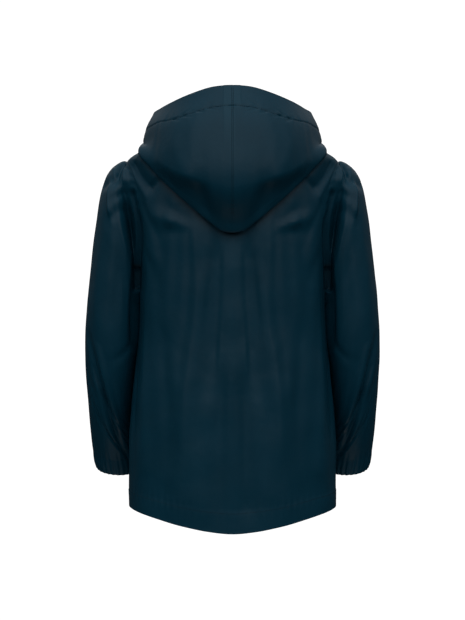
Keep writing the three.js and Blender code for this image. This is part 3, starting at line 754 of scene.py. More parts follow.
def crumple(across, up, seed, wave, height):
    """Sharp unevenness of film-coated cloth: a few crossed creases with flat facets between them."""
    draw = np.random.default_rng(seed)
    total = np.zeros(np.broadcast(across, up).shape)
    for _ in range(CRUMPLE_COUNT):
        angle = draw.uniform(0, math.pi)
        length = wave * draw.uniform(*CRUMPLE_LENGTHS)
        beside = across * math.sin(angle) - up * math.cos(angle)
        bend = CRUMPLE_BEND * np.sin(beside / (wave * CRUMPLE_BEND_LENGTH) + draw.uniform(0, 6))
        way = (across * math.cos(angle) + up * math.sin(angle)) / length + bend + draw.uniform(0, 2)
        total += np.abs(way % 2 - 1) - 0.5
    return total * height / CRUMPLE_COUNT


def puckers(along, off, name, side=0):
    """Short gathers across a line of stitches, of uneven spacing and height."""
    seed, pitch, reach, height = PUCKERS[name]
    phases = np.random.default_rng(seed + side).uniform(0, 2 * math.pi, 4)
    wander, swell = 0, PUCKER_LEAST
    for (share, length), phase in zip(PUCKER_WANDER, phases):
        wander = wander + share * np.sin(along / (pitch * length) + phase)
    for (share, length), phase in zip(PUCKER_SWELL, phases[2:]):
        swell = swell + share * np.sin(along / (pitch * length) + phase)
    gather = np.sin(2 * math.pi * along / pitch + wander + off * PUCKER_SLANT / pitch)
    return height * swell * gather * np.exp(-((off / reach) ** 2))


def groove(off, half=0.9, depth=0.8):
    """The line that a row of stitches presses into the cloth."""
    return -depth * np.exp(-((off / half) ** 2))


def gathers(degrees, side):
    """How far the elastic's gathers draw the cloth in, a little unevenly, all round the wrist."""
    wave = np.cos(np.radians(degrees) * CUFF_GATHERS) - 1
    unevenness = 1 - GATHER_UNEVEN + GATHER_UNEVEN * np.sin(np.radians(degrees) * GATHER_TURNS + side)
    return wave * GATHER_DEPTH / 2 * unevenness


def smooth_step(value, start, end):
    t = np.clip((value - start) / (end - start), 0, 1)
    return t * t * (3 - 2 * t)


# Meshes


def deselect():
    if bpy.context.object and bpy.context.object.mode != "OBJECT":
        bpy.ops.object.mode_set(mode="OBJECT")
    bpy.ops.object.select_all(action="DESELECT")


def make_active(piece):
    deselect()
    piece.select_set(True)
    bpy.context.view_layer.objects.active = piece


def apply_modifiers(piece):
    make_active(piece)
    for modifier in list(piece.modifiers):
        bpy.ops.object.modifier_apply(modifier=modifier.name)


def cloth_piece(name, points, normals, wall, around=False, painted_sheen=None):
    """A wall of cloth under a grid of outer points in millimetres, as one closed mesh.

    The last argument gives, from 0 to 1 at each point, where the cloth's colour is painted paler as a sheen.
    """
    if around:
        points = np.concatenate([points, points[:, :1]], 1)
        normals = np.concatenate([normals, normals[:, :1]], 1)
    rows, columns = points.shape[:2]
    deselect()
    bpy.ops.mesh.primitive_grid_add(x_subdivisions=columns - 1, y_subdivisions=rows - 1, size=1)
    piece = bpy.context.object
    piece.name = name
    piece.data.name = name
    mesh = piece.data
    flat = np.zeros(len(mesh.vertices) * 3)
    mesh.vertices.foreach_get("co", flat)
    flat = flat.reshape(-1, 3)
    column = np.rint((flat[:, 0] + 0.5) * (columns - 1)).astype(int)
    row = np.rint((flat[:, 1] + 0.5) * (rows - 1)).astype(int)
    mesh.vertices.foreach_set("co", (points[row, column] * MM).ravel())
    uv = np.stack([along_rows(points), along_columns(points)], -1) * MM
    corner = np.zeros(len(mesh.loops), int)
    mesh.loops.foreach_get("vertex_index", corner)
    mesh.uv_layers[0].data.foreach_set("uv", uv[row[corner], column[corner]].ravel())
    # Painted sheen: where the colour is painted paler, kept on the mesh for the material.
    if painted_sheen is not None:
        values = mesh.attributes.new("painted_sheen", "FLOAT", "POINT").data
        values.foreach_set("value", painted_sheen[row, column].ravel())
    mesh.update()
    facing = np.zeros(len(mesh.polygons) * 3)
    mesh.polygons.foreach_get("normal", facing)
    first = np.array([polygon.vertices[0] for polygon in mesh.polygons])
    if np.sum(facing.reshape(-1, 3) * normals[row[first], column[first]]) < 0:
        mesh.flip_normals()
    if around:
        bpy.ops.object.mode_set(mode="EDIT")
        bpy.ops.mesh.select_all(action="SELECT")
        bpy.ops.mesh.remove_doubles(threshold=1e-6)
        bpy.ops.object.mode_set(mode="OBJECT")
    solid = piece.modifiers.new("wall", "SOLIDIFY")
    solid.thickness = wall * MM
    solid.offset = -1
    solid.use_rim = True
    apply_modifiers(piece)
    piece.data.materials.clear()
    piece.data.materials.append(cloth_material())
    bpy.ops.object.shade_smooth_by_angle(angle=math.radians(CLOTH_SHARP_ANGLE))
    return piece


def stitch_row(name, points, normals, pitch, material):
    """Stitches along a line of points in millimetres: one bead of thread, copied at an even pitch."""
    length, width, height = pitch * STITCH_SHARE, STITCH_WIDTH, STITCH_WIDTH * STITCH_FLATNESS
    deselect()
    bpy.ops.mesh.primitive_ico_sphere_add(subdivisions=1, radius=0.5)
    bead = bpy.context.object
    shape = np.array([vertex.co[:] for vertex in bead.data.vertices])
    faces = np.array([polygon.vertices[:] for polygon in bead.data.polygons])
    bpy.data.objects.remove(bead)
    steps = np.linalg.norm(np.diff(points, axis=0), axis=-1)
    lengths = np.concatenate([[0], np.cumsum(steps)])
    at = np.arange(pitch / 2, lengths[-1], pitch)
    place = np.stack([np.interp(at, lengths, points[:, k]) for k in range(3)], -1)
    out = unit(np.stack([np.interp(at, lengths, normals[:, k]) for k in range(3)], -1))
    ahead = np.stack([np.interp(at + pitch / 3, lengths, points[:, k]) for k in range(3)], -1)
    behind = np.stack([np.interp(at - pitch / 3, lengths, points[:, k]) for k in range(3)], -1)
    along = unit(ahead - behind)
    side = unit(np.cross(out, along))
    beads = (place[:, None] + shape[None, :, :1] * along[:, None] * length
             + shape[None, :, 1:2] * side[:, None] * width + shape[None, :, 2:] * out[:, None] * height)
    index = faces[None] + (np.arange(len(at)) * len(shape))[:, None, None]
    mesh = bpy.data.meshes.new(name)
    mesh.from_pydata((beads.reshape(-1, 3) * MM).tolist(), [], index.reshape(-1, 3).tolist())
    mesh.materials.append(material)
    piece = bpy.data.objects.new(name, mesh)
    bpy.context.collection.objects.link(piece)
    mesh.polygons.foreach_set("use_smooth", [True] * len(mesh.polygons))
    return piece


def mirrored(points, sign):
    return points * np.array([sign, 1, 1])


# Materials


def add_node(tree, kind, settings=(), links=()):
    """Adds a node, sets its sockets and properties, and links other nodes' outputs into it."""
    node = tree.nodes.new(kind)
    for name, value in dict(settings).items():
        if name in node.inputs:
            node.inputs[name].default_value = value
        else:
            setattr(node, name, value)
    for name, source in dict(links).items():
        tree.links.new(source, node.inputs[name])
    return node


def new_material(name):
    material = bpy.data.materials.new(name)
    material.use_nodes = True
    tree = material.node_tree
    return material, tree, tree.nodes["Principled BSDF"]


def per_metre(span):
    """The scale of a pattern whose features are that many millimetres across."""
    return 1 / (span * MM)


def coated_polyester(sizes):
    """Plain-woven polyester with a polyurethane film: dark, slick, softly mirrored where it bends."""
    material, tree, shader = new_material("polyurethane coated polyester")
    place = add_node(tree, "ShaderNodeTexCoord").outputs["Object"]
    cloud = add_node(tree, "ShaderNodeTexNoise",
                     {"Scale": per_metre(CLOTH_CLOUD), "Detail": 3.0, "Roughness": 0.55}, {"Vector": place})
    shade = add_node(tree, "ShaderNodeValToRGB", links={"Fac": cloud.outputs["Fac"]})
    low, high = shade.color_ramp.elements
    base = np.array(sizes.cloth_colour[:3])
    low.position, high.position = 0.3, 0.72
    low.color = (*(base * 0.93), 1)
    high.color = (*(base * 1.07), 1)
    # Painted sheen: the colour is painted paler where the attribute below is set, on the hood's felled seam
    # allowance and beside its seam.
    painted_sheen = add_node(tree, "ShaderNodeAttribute", {"attribute_name": "painted_sheen"}).outputs["Fac"]
    paler = add_node(tree, "ShaderNodeMixRGB", {"Color2": (*hex_to_linear("#0b3444"), 1)},
                     {"Fac": painted_sheen, "Color1": shade.outputs["Color"]})
    tree.links.new(paler.outputs["Color"], shader.inputs["Base Color"])
    # The film wets the weave unevenly, so its gloss comes and goes over a few centimetres.
    smear = add_node(tree, "ShaderNodeTexNoise",
                     {"Scale": per_metre(CLOTH_GLOSS), "Detail": 4.0, "Roughness": 0.6}, {"Vector": place})
    gloss = add_node(tree, "ShaderNodeMapRange", {"To Min": 0.36, "To Max": 0.46},
                     {"Value": smear.outputs["Fac"]})
    tree.links.new(gloss.outputs["Result"], shader.inputs["Roughness"])
    # Threads are 0.3 mm apart, too fine for the render, so the grain is drawn about five times as coarse.
    grain = add_node(tree, "ShaderNodeTexNoise", {"Scale": per_metre(CLOTH_GRAIN), "Detail": 2.0},
                     {"Vector": place})
    rumple = add_node(tree, "ShaderNodeTexNoise",
                      {"Scale": per_metre(CLOTH_RUMPLE), "Detail": 4.0, "Roughness": 0.6}, {"Vector": place})
    soft = add_node(tree, "ShaderNodeBump", {"Strength": 0.22, "Distance": 0.002},
                    {"Height": rumple.outputs["Fac"]})
    fine = add_node(tree, "ShaderNodeBump", {"Strength": 0.1, "Distance": 0.0003},
                    {"Height": grain.outputs["Fac"], "Normal": soft.outputs["Normal"]})
    tree.links.new(fine.outputs["Normal"], shader.inputs["Normal"])
    shader.inputs["IOR"].default_value = 1.42
    shader.inputs["Specular IOR Level"].default_value = 0.16
    return material


def polyester_thread(sizes):
    """Spun polyester thread: matt, and darker than the film round it."""
    material, tree, shader = new_material("spun polyester thread")
    place = add_node(tree, "ShaderNodeTexCoord").outputs["Object"]
    twist = add_node(tree, "ShaderNodeTexNoise", {"Scale": per_metre(THREAD_TWIST), "Detail": 1.0},
                     {"Vector": place})
    lie = add_node(tree, "ShaderNodeBump", {"Strength": 0.3, "Distance": 0.0002},
                   {"Height": twist.outputs["Fac"]})
    tree.links.new(lie.outputs["Normal"], shader.inputs["Normal"])
    shader.inputs["Base Color"].default_value = (*sizes.thread_colour[:3], 1)
    shader.inputs["Roughness"].default_value = 0.75
    shader.inputs["Specular IOR Level"].default_value = 0.1
    return material


def lacquered_brass(sizes):
    """Press-stud caps, drawn from thin brass and lacquered to match the cloth: even and glossy."""
    material, tree, shader = new_material("lacquered stud cap")
    place = add_node(tree, "ShaderNodeTexCoord").outputs["Object"]
    wear = add_node(tree, "ShaderNodeTexNoise", {"Scale": per_metre(LACQUER_WEAR), "Detail": 3.0},
                    {"Vector": place})
    gloss = add_node(tree, "ShaderNodeMapRange", {"To Min": 0.24, "To Max": 0.36},
                     {"Value": wear.outputs["Fac"]})
    tree.links.new(gloss.outputs["Result"], shader.inputs["Roughness"])
    shader.inputs["Base Color"].default_value = (*sizes.stud_colour[:3], 1)
    shader.inputs["Coat Weight"].default_value = 0.5
    shader.inputs["Coat Roughness"].default_value = 0.15
    return material


def studio_paper(sizes):
    """Matt seamless paper: pale and even."""
    material, tree, shader = new_material("seamless studio paper")
    place = add_node(tree, "ShaderNodeTexCoord").outputs["Object"]
    tooth = add_node(tree, "ShaderNodeTexNoise", {"Scale": per_metre(PAPER_TOOTH), "Detail": 3.0},
                     {"Vector": place})
    lie = add_node(tree, "ShaderNodeBump", {"Strength": 0.04, "Distance": 0.001},
                   {"Height": tooth.outputs["Fac"]})
    tree.links.new(lie.outputs["Normal"], shader.inputs["Normal"])
    shader.inputs["Base Color"].default_value = (*sizes.floor_colour[:3], 1)
    shader.inputs["Roughness"].default_value = 0.9
    return material


def material_named(name, maker):
    """The one material of that name, made the first time that it is asked for."""
    made = bpy.data.materials.get(name)
    return made or maker(bpy.context.scene.raincoat)


def cloth_material():
    return material_named("polyurethane coated polyester", coated_polyester)


def thread_material():
    return material_named("spun polyester thread", polyester_thread)


# Pieces


class RaincoatSizes(bpy.types.PropertyGroup):
    """Sizes and colours of the raincoat that a user would change"""

    cloth_wall: FloatProperty(
        name="Cloth thickness", description="Thickness of the cloth", default=1.5 * MM, min=1 * MM,
        max=3 * MM, subtype="DISTANCE", unit="LENGTH")
    crease_strength: FloatProperty(
        name="Crease height", description="Height of the creases, 1 as photographed", default=1.0,
        min=0, max=2)
    stitch_pitch: FloatProperty(
        name="Stitch length", description="Length from one stitch to the next", default=3.2 * MM, min=2 * MM,
        max=6 * MM, subtype="DISTANCE", unit="LENGTH")
    cloth_colour: FloatVectorProperty(
        name="Cloth colour", description="Colour of the coated cloth", subtype="COLOR", size=3, min=0, max=1,
        default=hex_to_linear("#052f3f"))
    thread_colour: FloatVectorProperty(
        name="Thread colour", description="Colour of the sewing thread", subtype="COLOR", size=3,
        min=0, max=1, default=hex_to_linear("#04151e"))
    stud_colour: FloatVectorProperty(
        name="Stud colour", description="Colour of the press studs", subtype="COLOR", size=3, min=0, max=1,
        default=hex_to_linear("#14303d"))
    floor_colour: FloatVectorProperty(
        name="Floor colour", description="Colour of the studio floor", subtype="COLOR", size=3, min=0, max=1,
        default=hex_to_linear("#e2e2e0"))


def declare_cloth(piece, node):
    """Hangs a cloth piece on the root body and hides the frame's part that it stands for."""
    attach(piece, "root")
    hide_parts(node)


def sew(name, points, normals, sizes):
    """Sews a row of stitches along a line of points on a piece's face."""
    line = points + normals * THREAD_LIFT
    thread = stitch_row(name, line, normals, sizes.stitch_pitch / MM, thread_material())
    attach(thread, "root")


def hem_relief(across, levels, name, side=0):
    """A turned hem: two layers, a pressed line of stitches, and the puckers that they draw up."""
    off = (levels - HEM_LEVEL)[:, None] - HEM_DEPTH
    band = BODY_HEM_LIFT * (1 - smooth_step(off, -HEM_STEP, HEM_STEP))
    return band + groove(off) + puckers(across, off, name, side)


def hem_row(levels):
    """The row of a panel along which its hem is stitched."""
    return int(np.argmin(np.abs(levels - HEM_LEVEL - HEM_DEPTH)))


class RAINCOAT_OT_back(bpy.types.Operator):
    """Cuts the back panel and hangs it from the shoulders"""

    bl_idname = "raincoat.back"
    bl_label = "Back"

    def execute(self, context):
        sizes = context.scene.raincoat
        below, beside, above, columns = BACK_LINES
        levels, turns = body_rows(below, beside, above)
        share = np.linspace(-1, 1, columns)
        edge = 90 - armhole_cut(turns, ARMHOLE_BACK) - gap_angle(levels) * SEAM_SHOWN
        lost = (90 - edge)[:, None]
        degrees = 90 * share[None] - np.sign(share)[None] * lost * np.abs(share)[None] ** ARMHOLE_BEND
        points = body_point(degrees, levels[:, None])
        normals = grid_normals(points)
        across = along_rows(points, columns // 2)
        up = points[..., 2]
        other_creases = uneven(BACK_CREASES, OTHER_SIDE["back"])
        other_facets = uneven(BACK_FACETS, OTHER_SIDE["back_facets"], slide=1.5)
        folds = np.where(across >= 0,
                         creases(across, up, BACK_CREASES) + facets(across, up, BACK_FACETS),
                         creases(-across, up, other_creases) + facets(-across, up, other_facets))
        fall, fallen = recess(points)
        free = smooth_step(1 - np.abs(share), 0, BACK_MARGIN)[None] * (1 - fallen)
        relief = folds * free * sizes.crease_strength + ripple(across, up, "back") * free
        relief = relief + hem_relief(across, levels, "back_hem")
        points = points + normals * relief[..., None]
        points[..., 1] -= fall
        piece = cloth_piece("back", points, normals, sizes.cloth_wall / MM)
        declare_cloth(piece, "back_panel")
        row = hem_row(levels)
        sew("back_hem_stitches", points[row], normals[row], sizes)
        return {"FINISHED"}


class RAINCOAT_OT_fronts(bpy.types.Operator):
    """Cuts the two fronts and hangs them from the shoulders"""

    bl_idname = "raincoat.fronts"
    bl_label = "Fronts"

    def execute(self, context):
        sizes = context.scene.raincoat
        below, beside, above, columns = FRONT_LINES
        levels, turns = body_rows(below, beside, above)
        share = np.linspace(0, 1, columns)
        gap = gap_angle(levels)
        edge = 90 + armhole_cut(turns, ARMHOLE_FRONT) + gap * SEAM_SHOWN
        lost = (edge - 90)[:, None]
        degrees = 180 - gap[:, None] - (90 - gap[:, None]) * share[None] + lost * share[None] ** ARMHOLE_BEND
        base = body_point(degrees, levels[:, None])
        facing = -grid_normals(base)
        across = -along_rows(base)
        up = base[..., 2]
        free = (smooth_step(1 - share, 0, FRONT_MARGIN) * smooth_step(share, *FRONT_UNDER_FLAP))[None]
        hem = (hem_row(levels), slice(int(FRONT_STITCHES_FROM * columns), None))
        for side, sign in SIDES:
            table = FRONT_CREASES if sign > 0 else uneven(FRONT_CREASES, OTHER_SIDE["front"])
            relief = creases(across, up, table) * free * sizes.crease_strength
            relief = relief + ripple(across, up, "front", sign) * free
            relief = relief + hem_relief(across, levels, "front_hem", sign) * free
            points = mirrored(base + facing * relief[..., None], sign)
            normals = mirrored(facing, sign)
            piece = cloth_piece(f"front_{side}_cloth", points, normals, sizes.cloth_wall / MM)
            declare_cloth(piece, f"front_{side}")
            sew(f"front_{side}_hem_stitches", points[hem], normals[hem], sizes)
        return {"FINISHED"}


def along_ring(table, wide):
    """A table of creases whose angles become millimetres round a sleeve that wide."""
    return tuple((a0 / 360 * wide, u0, a1 / 360 * wide, u1, *rest) for a0, u0, a1, u1, *rest in table)


class RAINCOAT_OT_sleeves(bpy.types.Operator):
    """Sets the sleeves into the armholes, with their puckered heads and elbow folds"""

    bl_idname = "raincoat.sleeves"
    bl_label = "Sleeves"

    def execute(self, context):
        sizes = context.scene.raincoat
        degrees = np.arange(SLEEVE_COLUMNS) * 360 / SLEEVE_COLUMNS
        rings = spaced(SLEEVE_LINES)
        base = sleeve_points(degrees, rings)
        normals = grid_normals(base, around=True)
        normals[0] = normals[1]
        base = base + normals * sleeve_folds(degrees, rings)[..., None]
        fall, fallen = recess(base, whole_below=SLEEVE_FALL_TOP)
        base[..., 1] -= fall
        flush = 1 - fallen
        down = along_columns(base)
        to_end = down[-1][None] - down
        girth = np.linalg.norm(base - np.roll(base, 1, 1), axis=-1).sum(1)[:, None]
        turn = np.broadcast_to(degrees[None], down.shape)
        around = turn / 360 * SLEEVE_GIRTH
        # The cloth that lies against the body is left smooth, so that it doesn't rub through.
        calm = 1 - SLEEVE_CALM * hill(turn - 180, SLEEVE_CALM_HALF)
        at_armhole, at_cuff = SLEEVE_MARGINS
        free = smooth_step(down, 0, at_armhole) * smooth_step(to_end, 0, at_cuff) * calm * flush
        past_seam = smooth_step(down, 0, SLEEVE_PUCKERS_FROM)
        from_head_turn = (turn + 180) % 360 - 180 - HEAD_TURN
        at_head = smooth_step(down, *HEAD_FROM) * (1 - smooth_step(down, *HEAD_TO))
        at_head = at_head * hill(from_head_turn, HEAD_TURN_HALF) * flush
        for side, sign in SIDES:
            tables = (SLEEVE_CREASES, FOREARM_CREASES, SLEEVE_FACETS)
            if sign < 0:
                tables = tuple(uneven(table, OTHER_SIDE["sleeve"], slide=2) for table in tables)
            head, forearm, sharp = (along_ring(table, SLEEVE_GIRTH) for table in tables)
            relief = creases(around, down, head, SLEEVE_GIRTH)
            relief += creases(around, to_end, forearm, SLEEVE_GIRTH)
            relief += facets(around, down, sharp)
            relief *= free * sizes.crease_strength
            relief += gathers(turn, sign) * CUFF[0, -1] * np.exp(-to_end / GATHER_FADE)
            relief += puckers(around, down, "armhole") * past_seam * flush * calm
            relief += crumple(around, down, *HEAD_CRUMPLE) * at_head
            relief += ripple(around * (girth / SLEEVE_GIRTH), down, "sleeve", sign) * free
            points = mirrored(base + normals * relief[..., None], sign)
            outward = mirrored(normals, sign)
            piece = cloth_piece(f"sleeve_{side}_cloth", points, outward, sizes.cloth_wall / MM, around=True)
            declare_cloth(piece, f"sleeve_{side}")
        return {"FINISHED"}


class RAINCOAT_OT_cuffs(bpy.types.Operator):
    """Gathers the sleeve ends onto their elastic"""

    bl_idname = "raincoat.cuffs"
    bl_label = "Cuffs"

    def execute(self, context):
        sizes = context.scene.raincoat
        lines, per_gather = CUFF_LINES
        columns = CUFF_GATHERS * per_gather
        degrees = np.arange(columns) * 360 / columns
        shares = np.linspace(0, 1, lines)
        table = through(CUFF[:, 0], CUFF[:, 1:], shares)
        for side, sign in SIDES:
            rows = []
            for share, (out_x, out_z, in_x, in_z, mid_y, depth, pitch, gather) in zip(shares, table):
                ring = ring_points((out_x, out_z, in_x, in_z, mid_y, depth, depth, 0, pitch), degrees)
                lift = gathers(degrees, sign) * gather + CUFF_SWELL * math.sin(math.pi * share)
                rows.append(ring + unit(ring - ring.mean(0)) * lift[:, None])
            points = mirrored(np.stack(rows), sign)
            outward = unit(points - points.mean(1, keepdims=True))
            piece = cloth_piece(f"cuff_{side}_cloth", points, outward, sizes.cloth_wall / MM, around=True)
            declare_cloth(piece, f"cuff_{side}")
        return {"FINISHED"}


def hood_hem(across):
    """The depth of the hood's hem, which is deepest over the ears."""
    return np.interp(across, HOOD_HEM[:, 0], HOOD_HEM[:, 1])


def hood_relief(across, down, sign):
    """The relief of half a hood and where a sheen is painted on it. across is from the seam and down from the
    brim.
    """
    table = HOOD_CREASES if sign > 0 else uneven(HOOD_CREASES, OTHER_SIDE["hood"])
    relief = creases(across, down, table)
    off = down - hood_hem(across)
    relief += HOOD_HEM_LIFT * (1 - smooth_step(off, -HEM_STEP, HEM_STEP)) + groove(off, *HOOD_HEM_GROOVE)
    relief += puckers(across, off, "hood_hem")
    # The felled seam allowance lies flat beside the seam, further down on the wearer's left.
    wide, fell = HOOD_FELL[sign]
    strip = (1 - smooth_step(across, wide, wide + 1)) * (1 - smooth_step(down, HOOD_FELL_FADE, fell))
    relief += HOOD_FELL_LIFT * strip
    gathered = smooth_step(down, *HOOD_SEAM_PUCKERS_FROM) * (1 - smooth_step(down, *HOOD_SEAM_PUCKERS_TO))
    relief += puckers(down, across, "hood_seam") * gathered
    relief += groove(across, *HOOD_SEAM_GROOVE) * smooth_step(down, *HOOD_SEAM_GROOVE_FROM)
    relief += ripple(across, down, "hood", sign)
    # Painted sheen: a paler band painted beside the seam, fading out below the brim.
    seam_painted_sheen = (1 - smooth_step(across, *HOOD_SEAM_PAINTED_SHEEN_ACROSS)) * (1 - smooth_step(down, *HOOD_SEAM_PAINTED_SHEEN_DOWN))
    # The second value is the painted sheen: paler colour on the fell strip and in the band beside the seam.
    return relief, np.maximum(strip * smooth_step(across, *HOOD_FELL_PAINTED_SHEEN_ACROSS), HOOD_SEAM_PAINTED_SHEEN * seam_painted_sheen)


def hem_line(points, normals, off):
    """The points and normals of a grid where off, which falls along each column, passes through nothing."""
    line, facing = [], []
    for column in range(off.shape[1]):
        order = np.argsort(off[:, column])
        line.append([np.interp(0, off[order, column], points[order, column, k]) for k in range(3)])
        facing.append([np.interp(0, off[order, column], normals[order, column, k]) for k in range(3)])
    return np.array(line), unit(np.array(facing))


class RAINCOAT_OT_hood(bpy.types.Operator):
    """Sews the two halves of the hood and lays it back on the shoulders"""

    bl_idname = "raincoat.hood"
    bl_label = "Hood"

    def execute(self, context):
        sizes = context.scene.raincoat
        degrees = spaced(HOOD_ANGLES)
        rails = spaced(HOOD_LINES)
        base = hood_points(degrees, rails)
        normals = grid_normals(base)
        for angle, half_angle, rail, half_rail, height in HOOD_HOLLOWS:
            shape = hill(degrees - angle, half_angle)[None] * hill(rails - rail, half_rail)[:, None]
            base = base + normals * (height * shape)[..., None]
        across = along_rows(base)
        down = -along_columns(base, len(rails) - 1)
        shown = smooth_step(rails, *HOOD_SHOWN_RAILS)[:, None]
        at_neck = smooth_step(rails, *HOOD_NECK_RAILS)[:, None]
        first, last = HOOD_SEAM_STITCHES
        sewn = (down[:, 1] > first) & (down[:, 1] < last)
        for side, sign in SIDES:
            relief, painted_sheen = hood_relief(across, down, sign)
            relief = relief * mix(HOOD_UNDER_RELIEF, 1, shown) * at_neck
            points = base + normals * relief[..., None] * sizes.crease_strength
            points[:, 0, 0] = 0
            points[:, 1:, 0] = np.maximum(points[:, 1:, 0], HOOD_SEAM_CLEAR)
            points = mirrored(points, sign)
            outward = mirrored(normals, sign)
            # The cloth is painted paler there as a sheen.
            piece = cloth_piece(f"hood_{side}_cloth", points, outward, sizes.cloth_wall / MM, painted_sheen=painted_sheen)
            declare_cloth(piece, f"hood_{side}")
            line, facing = hem_line(points, outward, down - hood_hem(across))
            sew(f"hood_{side}_hem_stitches", line, facing, sizes)
            sew(f"hood_{side}_seam_stitches", points[sewn, 1], outward[sewn, 1], sizes)
        return {"FINISHED"}


class RAINCOAT_OT_placket(bpy.types.Operator):
    """Lays the storm flap over the front closing"""

    bl_idname = "raincoat.placket"
    bl_label = "Placket"

    def execute(self, context):
        sizes = context.scene.raincoat
        lines, columns = PLACKET_LINES
        levels = np.linspace(HEM_LEVEL, PLACKET_TOP, lines)
        share = np.linspace(-1, 1, columns)
        half = np.degrees(PLACKET_HALF_WIDTH / through(BODY[:, 0], BODY[:, 3], levels))
        degrees = 180 + half[:, None] * share[None]
        degrees = np.where(degrees > 180, degrees - 360, degrees)
        levels = np.broadcast_to(levels[:, None], degrees.shape)
        base = body_point(degrees, levels)
        normals = body_normal(degrees, levels)
        across = np.broadcast_to(share[None] * PLACKET_HALF_WIDTH, degrees.shape)
        edge = PLACKET_HALF_WIDTH - np.abs(across)
        off = edge - PLACKET_STITCHES
        relief = groove(off) + puckers(levels, off, "placket") + ripple(across, levels, "placket")
        relief = relief + groove(edge, PLACKET_ROUND, PLACKET_EDGE_DROP)
        points = base + normals * (PLACKET_LIFT + PLACKET_CLOTH + relief)[..., None]
        piece = cloth_piece("storm_flap", points, normals, PLACKET_CLOTH)
        declare_cloth(piece, "placket")
        stitched = round(PLACKET_STITCHES / PLACKET_HALF_WIDTH * (columns // 2))
        for side, column in (("left", stitched), ("right", -1 - stitched)):
            sew(f"flap_{side}_stitches", points[:, column], normals[:, column], sizes)
        return {"FINISHED"}


def front_level(height):
    """The level at which the middle of the front is at a height."""
    levels = np.linspace(HEM_LEVEL, NECK_LEVEL, 2000)
    heights = body_point(np.full(levels.shape, 180.0), levels)[:, 2]
    return float(np.interp(height, heights, levels))


class RAINCOAT_OT_studs(bpy.types.Operator):
    """Presses the stud caps into the storm flap"""

    bl_idname = "raincoat.studs"
    bl_label = "Press studs"

    def execute(self, context):
        material = material_named("lacquered stud cap", lacquered_brass)
        for index in range(STUD_COUNT):
            level = front_level(STUD_TOP - index * STUD_PITCH)
            lift = PLACKET_LIFT + PLACKET_CLOTH + SEAM_GAP
            seat = on_body(np.array([180.0]), np.array([level]), np.array([lift]))[0]
            out = Vector(body_normal(np.array([180.0]), np.array([level]))[0])
            deselect()
            bpy.ops.mesh.primitive_cylinder_add(vertices=STUD_CORNERS, radius=STUD_RADIUS * MM,
                                                depth=STUD_BASE * MM, location=(0, 0, STUD_BASE / 2 * MM))
            cap = bpy.context.object
            bpy.ops.object.mode_set(mode="EDIT")
            bpy.ops.mesh.select_mode(type="FACE")
            bpy.ops.mesh.select_all(action="DESELECT")
            bpy.ops.object.mode_set(mode="OBJECT")
            for face in cap.data.polygons:
                face.select = face.normal.z > 0.9
            bpy.ops.object.mode_set(mode="EDIT")
            for inward, up in STUD_STEPS:
                bpy.ops.mesh.inset(thickness=inward * MM, depth=up * MM)
            bpy.ops.object.mode_set(mode="OBJECT")
            bevel = cap.modifiers.new("rolled edge", "BEVEL")
            bevel.width = STUD_EDGE * MM
            bevel.segments = 3
            bevel.limit_method = "ANGLE"
            apply_modifiers(cap)
            turn = Vector((0, 0, 1)).rotation_difference(out).to_matrix().to_4x4()
            cap.data.transform(Matrix.Translation(Vector(seat) * MM) @ turn)
            cap.name = f"stud_cap_{index + 1}"
            cap.data.materials.append(material)
            cap.location = (0, 0, 0)
            bpy.ops.object.shade_smooth_by_angle(angle=math.radians(STUD_SHARP_ANGLE))
            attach(cap, "root")
            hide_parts(f"stud_{index + 1}")
        return {"FINISHED"}


# Studio

VIEW_HEIGHT = -0.24
VIEW_DISTANCE = 3.0
VIEW_TALL = 0.93
SENSOR = 36.0
FLOOR_HEIGHT = -1.5
FLOOR_SIZE = 1.4
ROOM_BELOW = 0.02
ROOM_ABOVE = 1.65
ROOM_FAR_SHARE = 0.3
ROOM_BRIGHTEST = (0, 0.78, 0.62)
# How near a direction is to the brightest one, and how high it is, where the light starts and is full
ROOM_NEARNESS = (0.45, 0.95)
ROOM_RISE = (-0.06, 0.55)
ROOM_TO_CAMERA = 1.1

# name, azimuth from behind the coat, elevation, distance, size, power
SOFT_BOXES = (
    ("over_camera", 0, 24, 2.6, 0.5, 1.4),
    ("key", 33, 16, 2.8, 0.6, 2.4),
    ("fill", -33, 16, 2.8, 0.6, 2.4),
    ("front", 180, 60, 2.8, 1.8, 10),
)


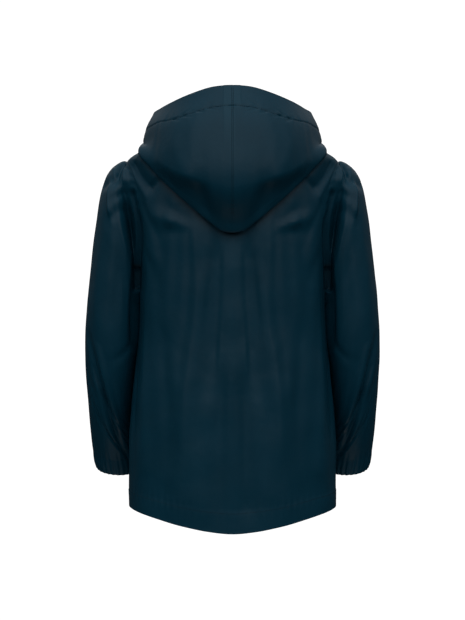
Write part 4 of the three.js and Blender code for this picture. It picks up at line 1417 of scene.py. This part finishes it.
class RAINCOAT_OT_studio(bpy.types.Operator):
    """Sets up the pale floor, the soft light and the camera of the photograph"""

    bl_idname = "raincoat.studio"
    bl_label = "Studio"

    def execute(self, context):
        scene = context.scene
        deselect()
        bpy.ops.mesh.primitive_plane_add(size=FLOOR_SIZE)
        floor = context.object
        floor.name = "studio_floor"
        floor.data.transform(Matrix.Translation((0, 0, FLOOR_HEIGHT)))
        floor.data.materials.append(material_named("seamless studio paper", studio_paper))
        for name, azimuth, elevation, distance, size, power in SOFT_BOXES:
            light = bpy.data.lights.new(name, "AREA")
            light.shape = "SQUARE"
            light.size = size
            light.energy = power
            lamp = bpy.data.objects.new(name, light)
            scene.collection.objects.link(lamp)
            turn, lift = math.radians(azimuth), math.radians(elevation)
            away = Vector((math.sin(turn), math.cos(turn), math.tan(lift))).normalized()
            lamp.location = Vector((0, 0, VIEW_HEIGHT)) + away * distance
            lamp.rotation_euler = (-away).to_track_quat("-Z", "Y").to_euler()
        world = bpy.data.worlds.new("studio")
        world.use_nodes = True
        tree = world.node_tree
        # The room's light comes from its pale ceiling and fades to a dark floor, and the camera sees white.
        way = add_node(tree, "ShaderNodeTexCoord").outputs["Generated"]
        heading = add_node(tree, "ShaderNodeSeparateXYZ", links={"Vector": way})
        toward = add_node(tree, "ShaderNodeVectorMath", {"operation": "DOT_PRODUCT"}, {"Vector": way})
        toward.inputs[1].default_value = ROOM_BRIGHTEST
        near = add_node(tree, "ShaderNodeMapRange",
                        {"interpolation_type": "SMOOTHSTEP", "From Min": ROOM_NEARNESS[0],
                         "From Max": ROOM_NEARNESS[1], "To Min": ROOM_ABOVE * ROOM_FAR_SHARE,
                         "To Max": ROOM_ABOVE},
                        {"Value": toward.outputs["Value"]})
        room = add_node(tree, "ShaderNodeMapRange",
                        {"interpolation_type": "SMOOTHSTEP", "From Min": ROOM_RISE[0],
                         "From Max": ROOM_RISE[1], "To Min": ROOM_BELOW},
                        {"Value": heading.outputs["Z"], "To Max": near.outputs["Result"]})
        seen = add_node(tree, "ShaderNodeLightPath").outputs["Is Camera Ray"]
        glow = add_node(tree, "ShaderNodeMapRange", {"To Max": ROOM_TO_CAMERA},
                        {"Value": seen, "To Min": room.outputs["Result"]})
        sky = tree.nodes["Background"]
        sky.inputs["Color"].default_value = (1, 1, 1, 1)
        tree.links.new(glow.outputs["Result"], sky.inputs["Strength"])
        scene.world = world
        scene.view_settings.view_transform = "Standard"
        camera = bpy.data.cameras.new("camera")
        camera.sensor_width = SENSOR
        camera.lens = SENSOR * VIEW_DISTANCE / VIEW_TALL
        view = bpy.data.objects.new("camera", camera)
        scene.collection.objects.link(view)
        view.location = (0, VIEW_DISTANCE, VIEW_HEIGHT)
        view.rotation_euler = (math.radians(90), 0, math.radians(180))
        scene.camera = view
        return {"FINISHED"}


PIECE_OPERATORS = (
    RAINCOAT_OT_back,
    RAINCOAT_OT_fronts,
    RAINCOAT_OT_sleeves,
    RAINCOAT_OT_cuffs,
    RAINCOAT_OT_hood,
    RAINCOAT_OT_placket,
    RAINCOAT_OT_studs,
    RAINCOAT_OT_studio,
)


class RAINCOAT_PT_panel(bpy.types.Panel):
    """Sizes, colours and pieces of the raincoat"""

    bl_label = "Raincoat"
    bl_idname = "RAINCOAT_PT_panel"
    bl_space_type = "VIEW_3D"
    bl_region_type = "UI"
    bl_category = "Raincoat"

    def draw(self, context):
        sizes = context.scene.raincoat
        for name in RaincoatSizes.__annotations__:
            self.layout.prop(sizes, name)
        for operator in PIECE_OPERATORS:
            self.layout.operator(operator.bl_idname)


CLASSES = (RaincoatSizes, *PIECE_OPERATORS, RAINCOAT_PT_panel)


def register():
    for item in CLASSES:
        bpy.utils.register_class(item)
    bpy.types.Scene.raincoat = PointerProperty(type=RaincoatSizes)


def unregister():
    del bpy.types.Scene.raincoat
    for item in reversed(CLASSES):
        bpy.utils.unregister_class(item)


def main():
    register()
    for operator in PIECE_OPERATORS:
        group, name = operator.bl_idname.split(".")
        getattr(getattr(bpy.ops, group), name)()


if __name__ == "__main__":
    main()
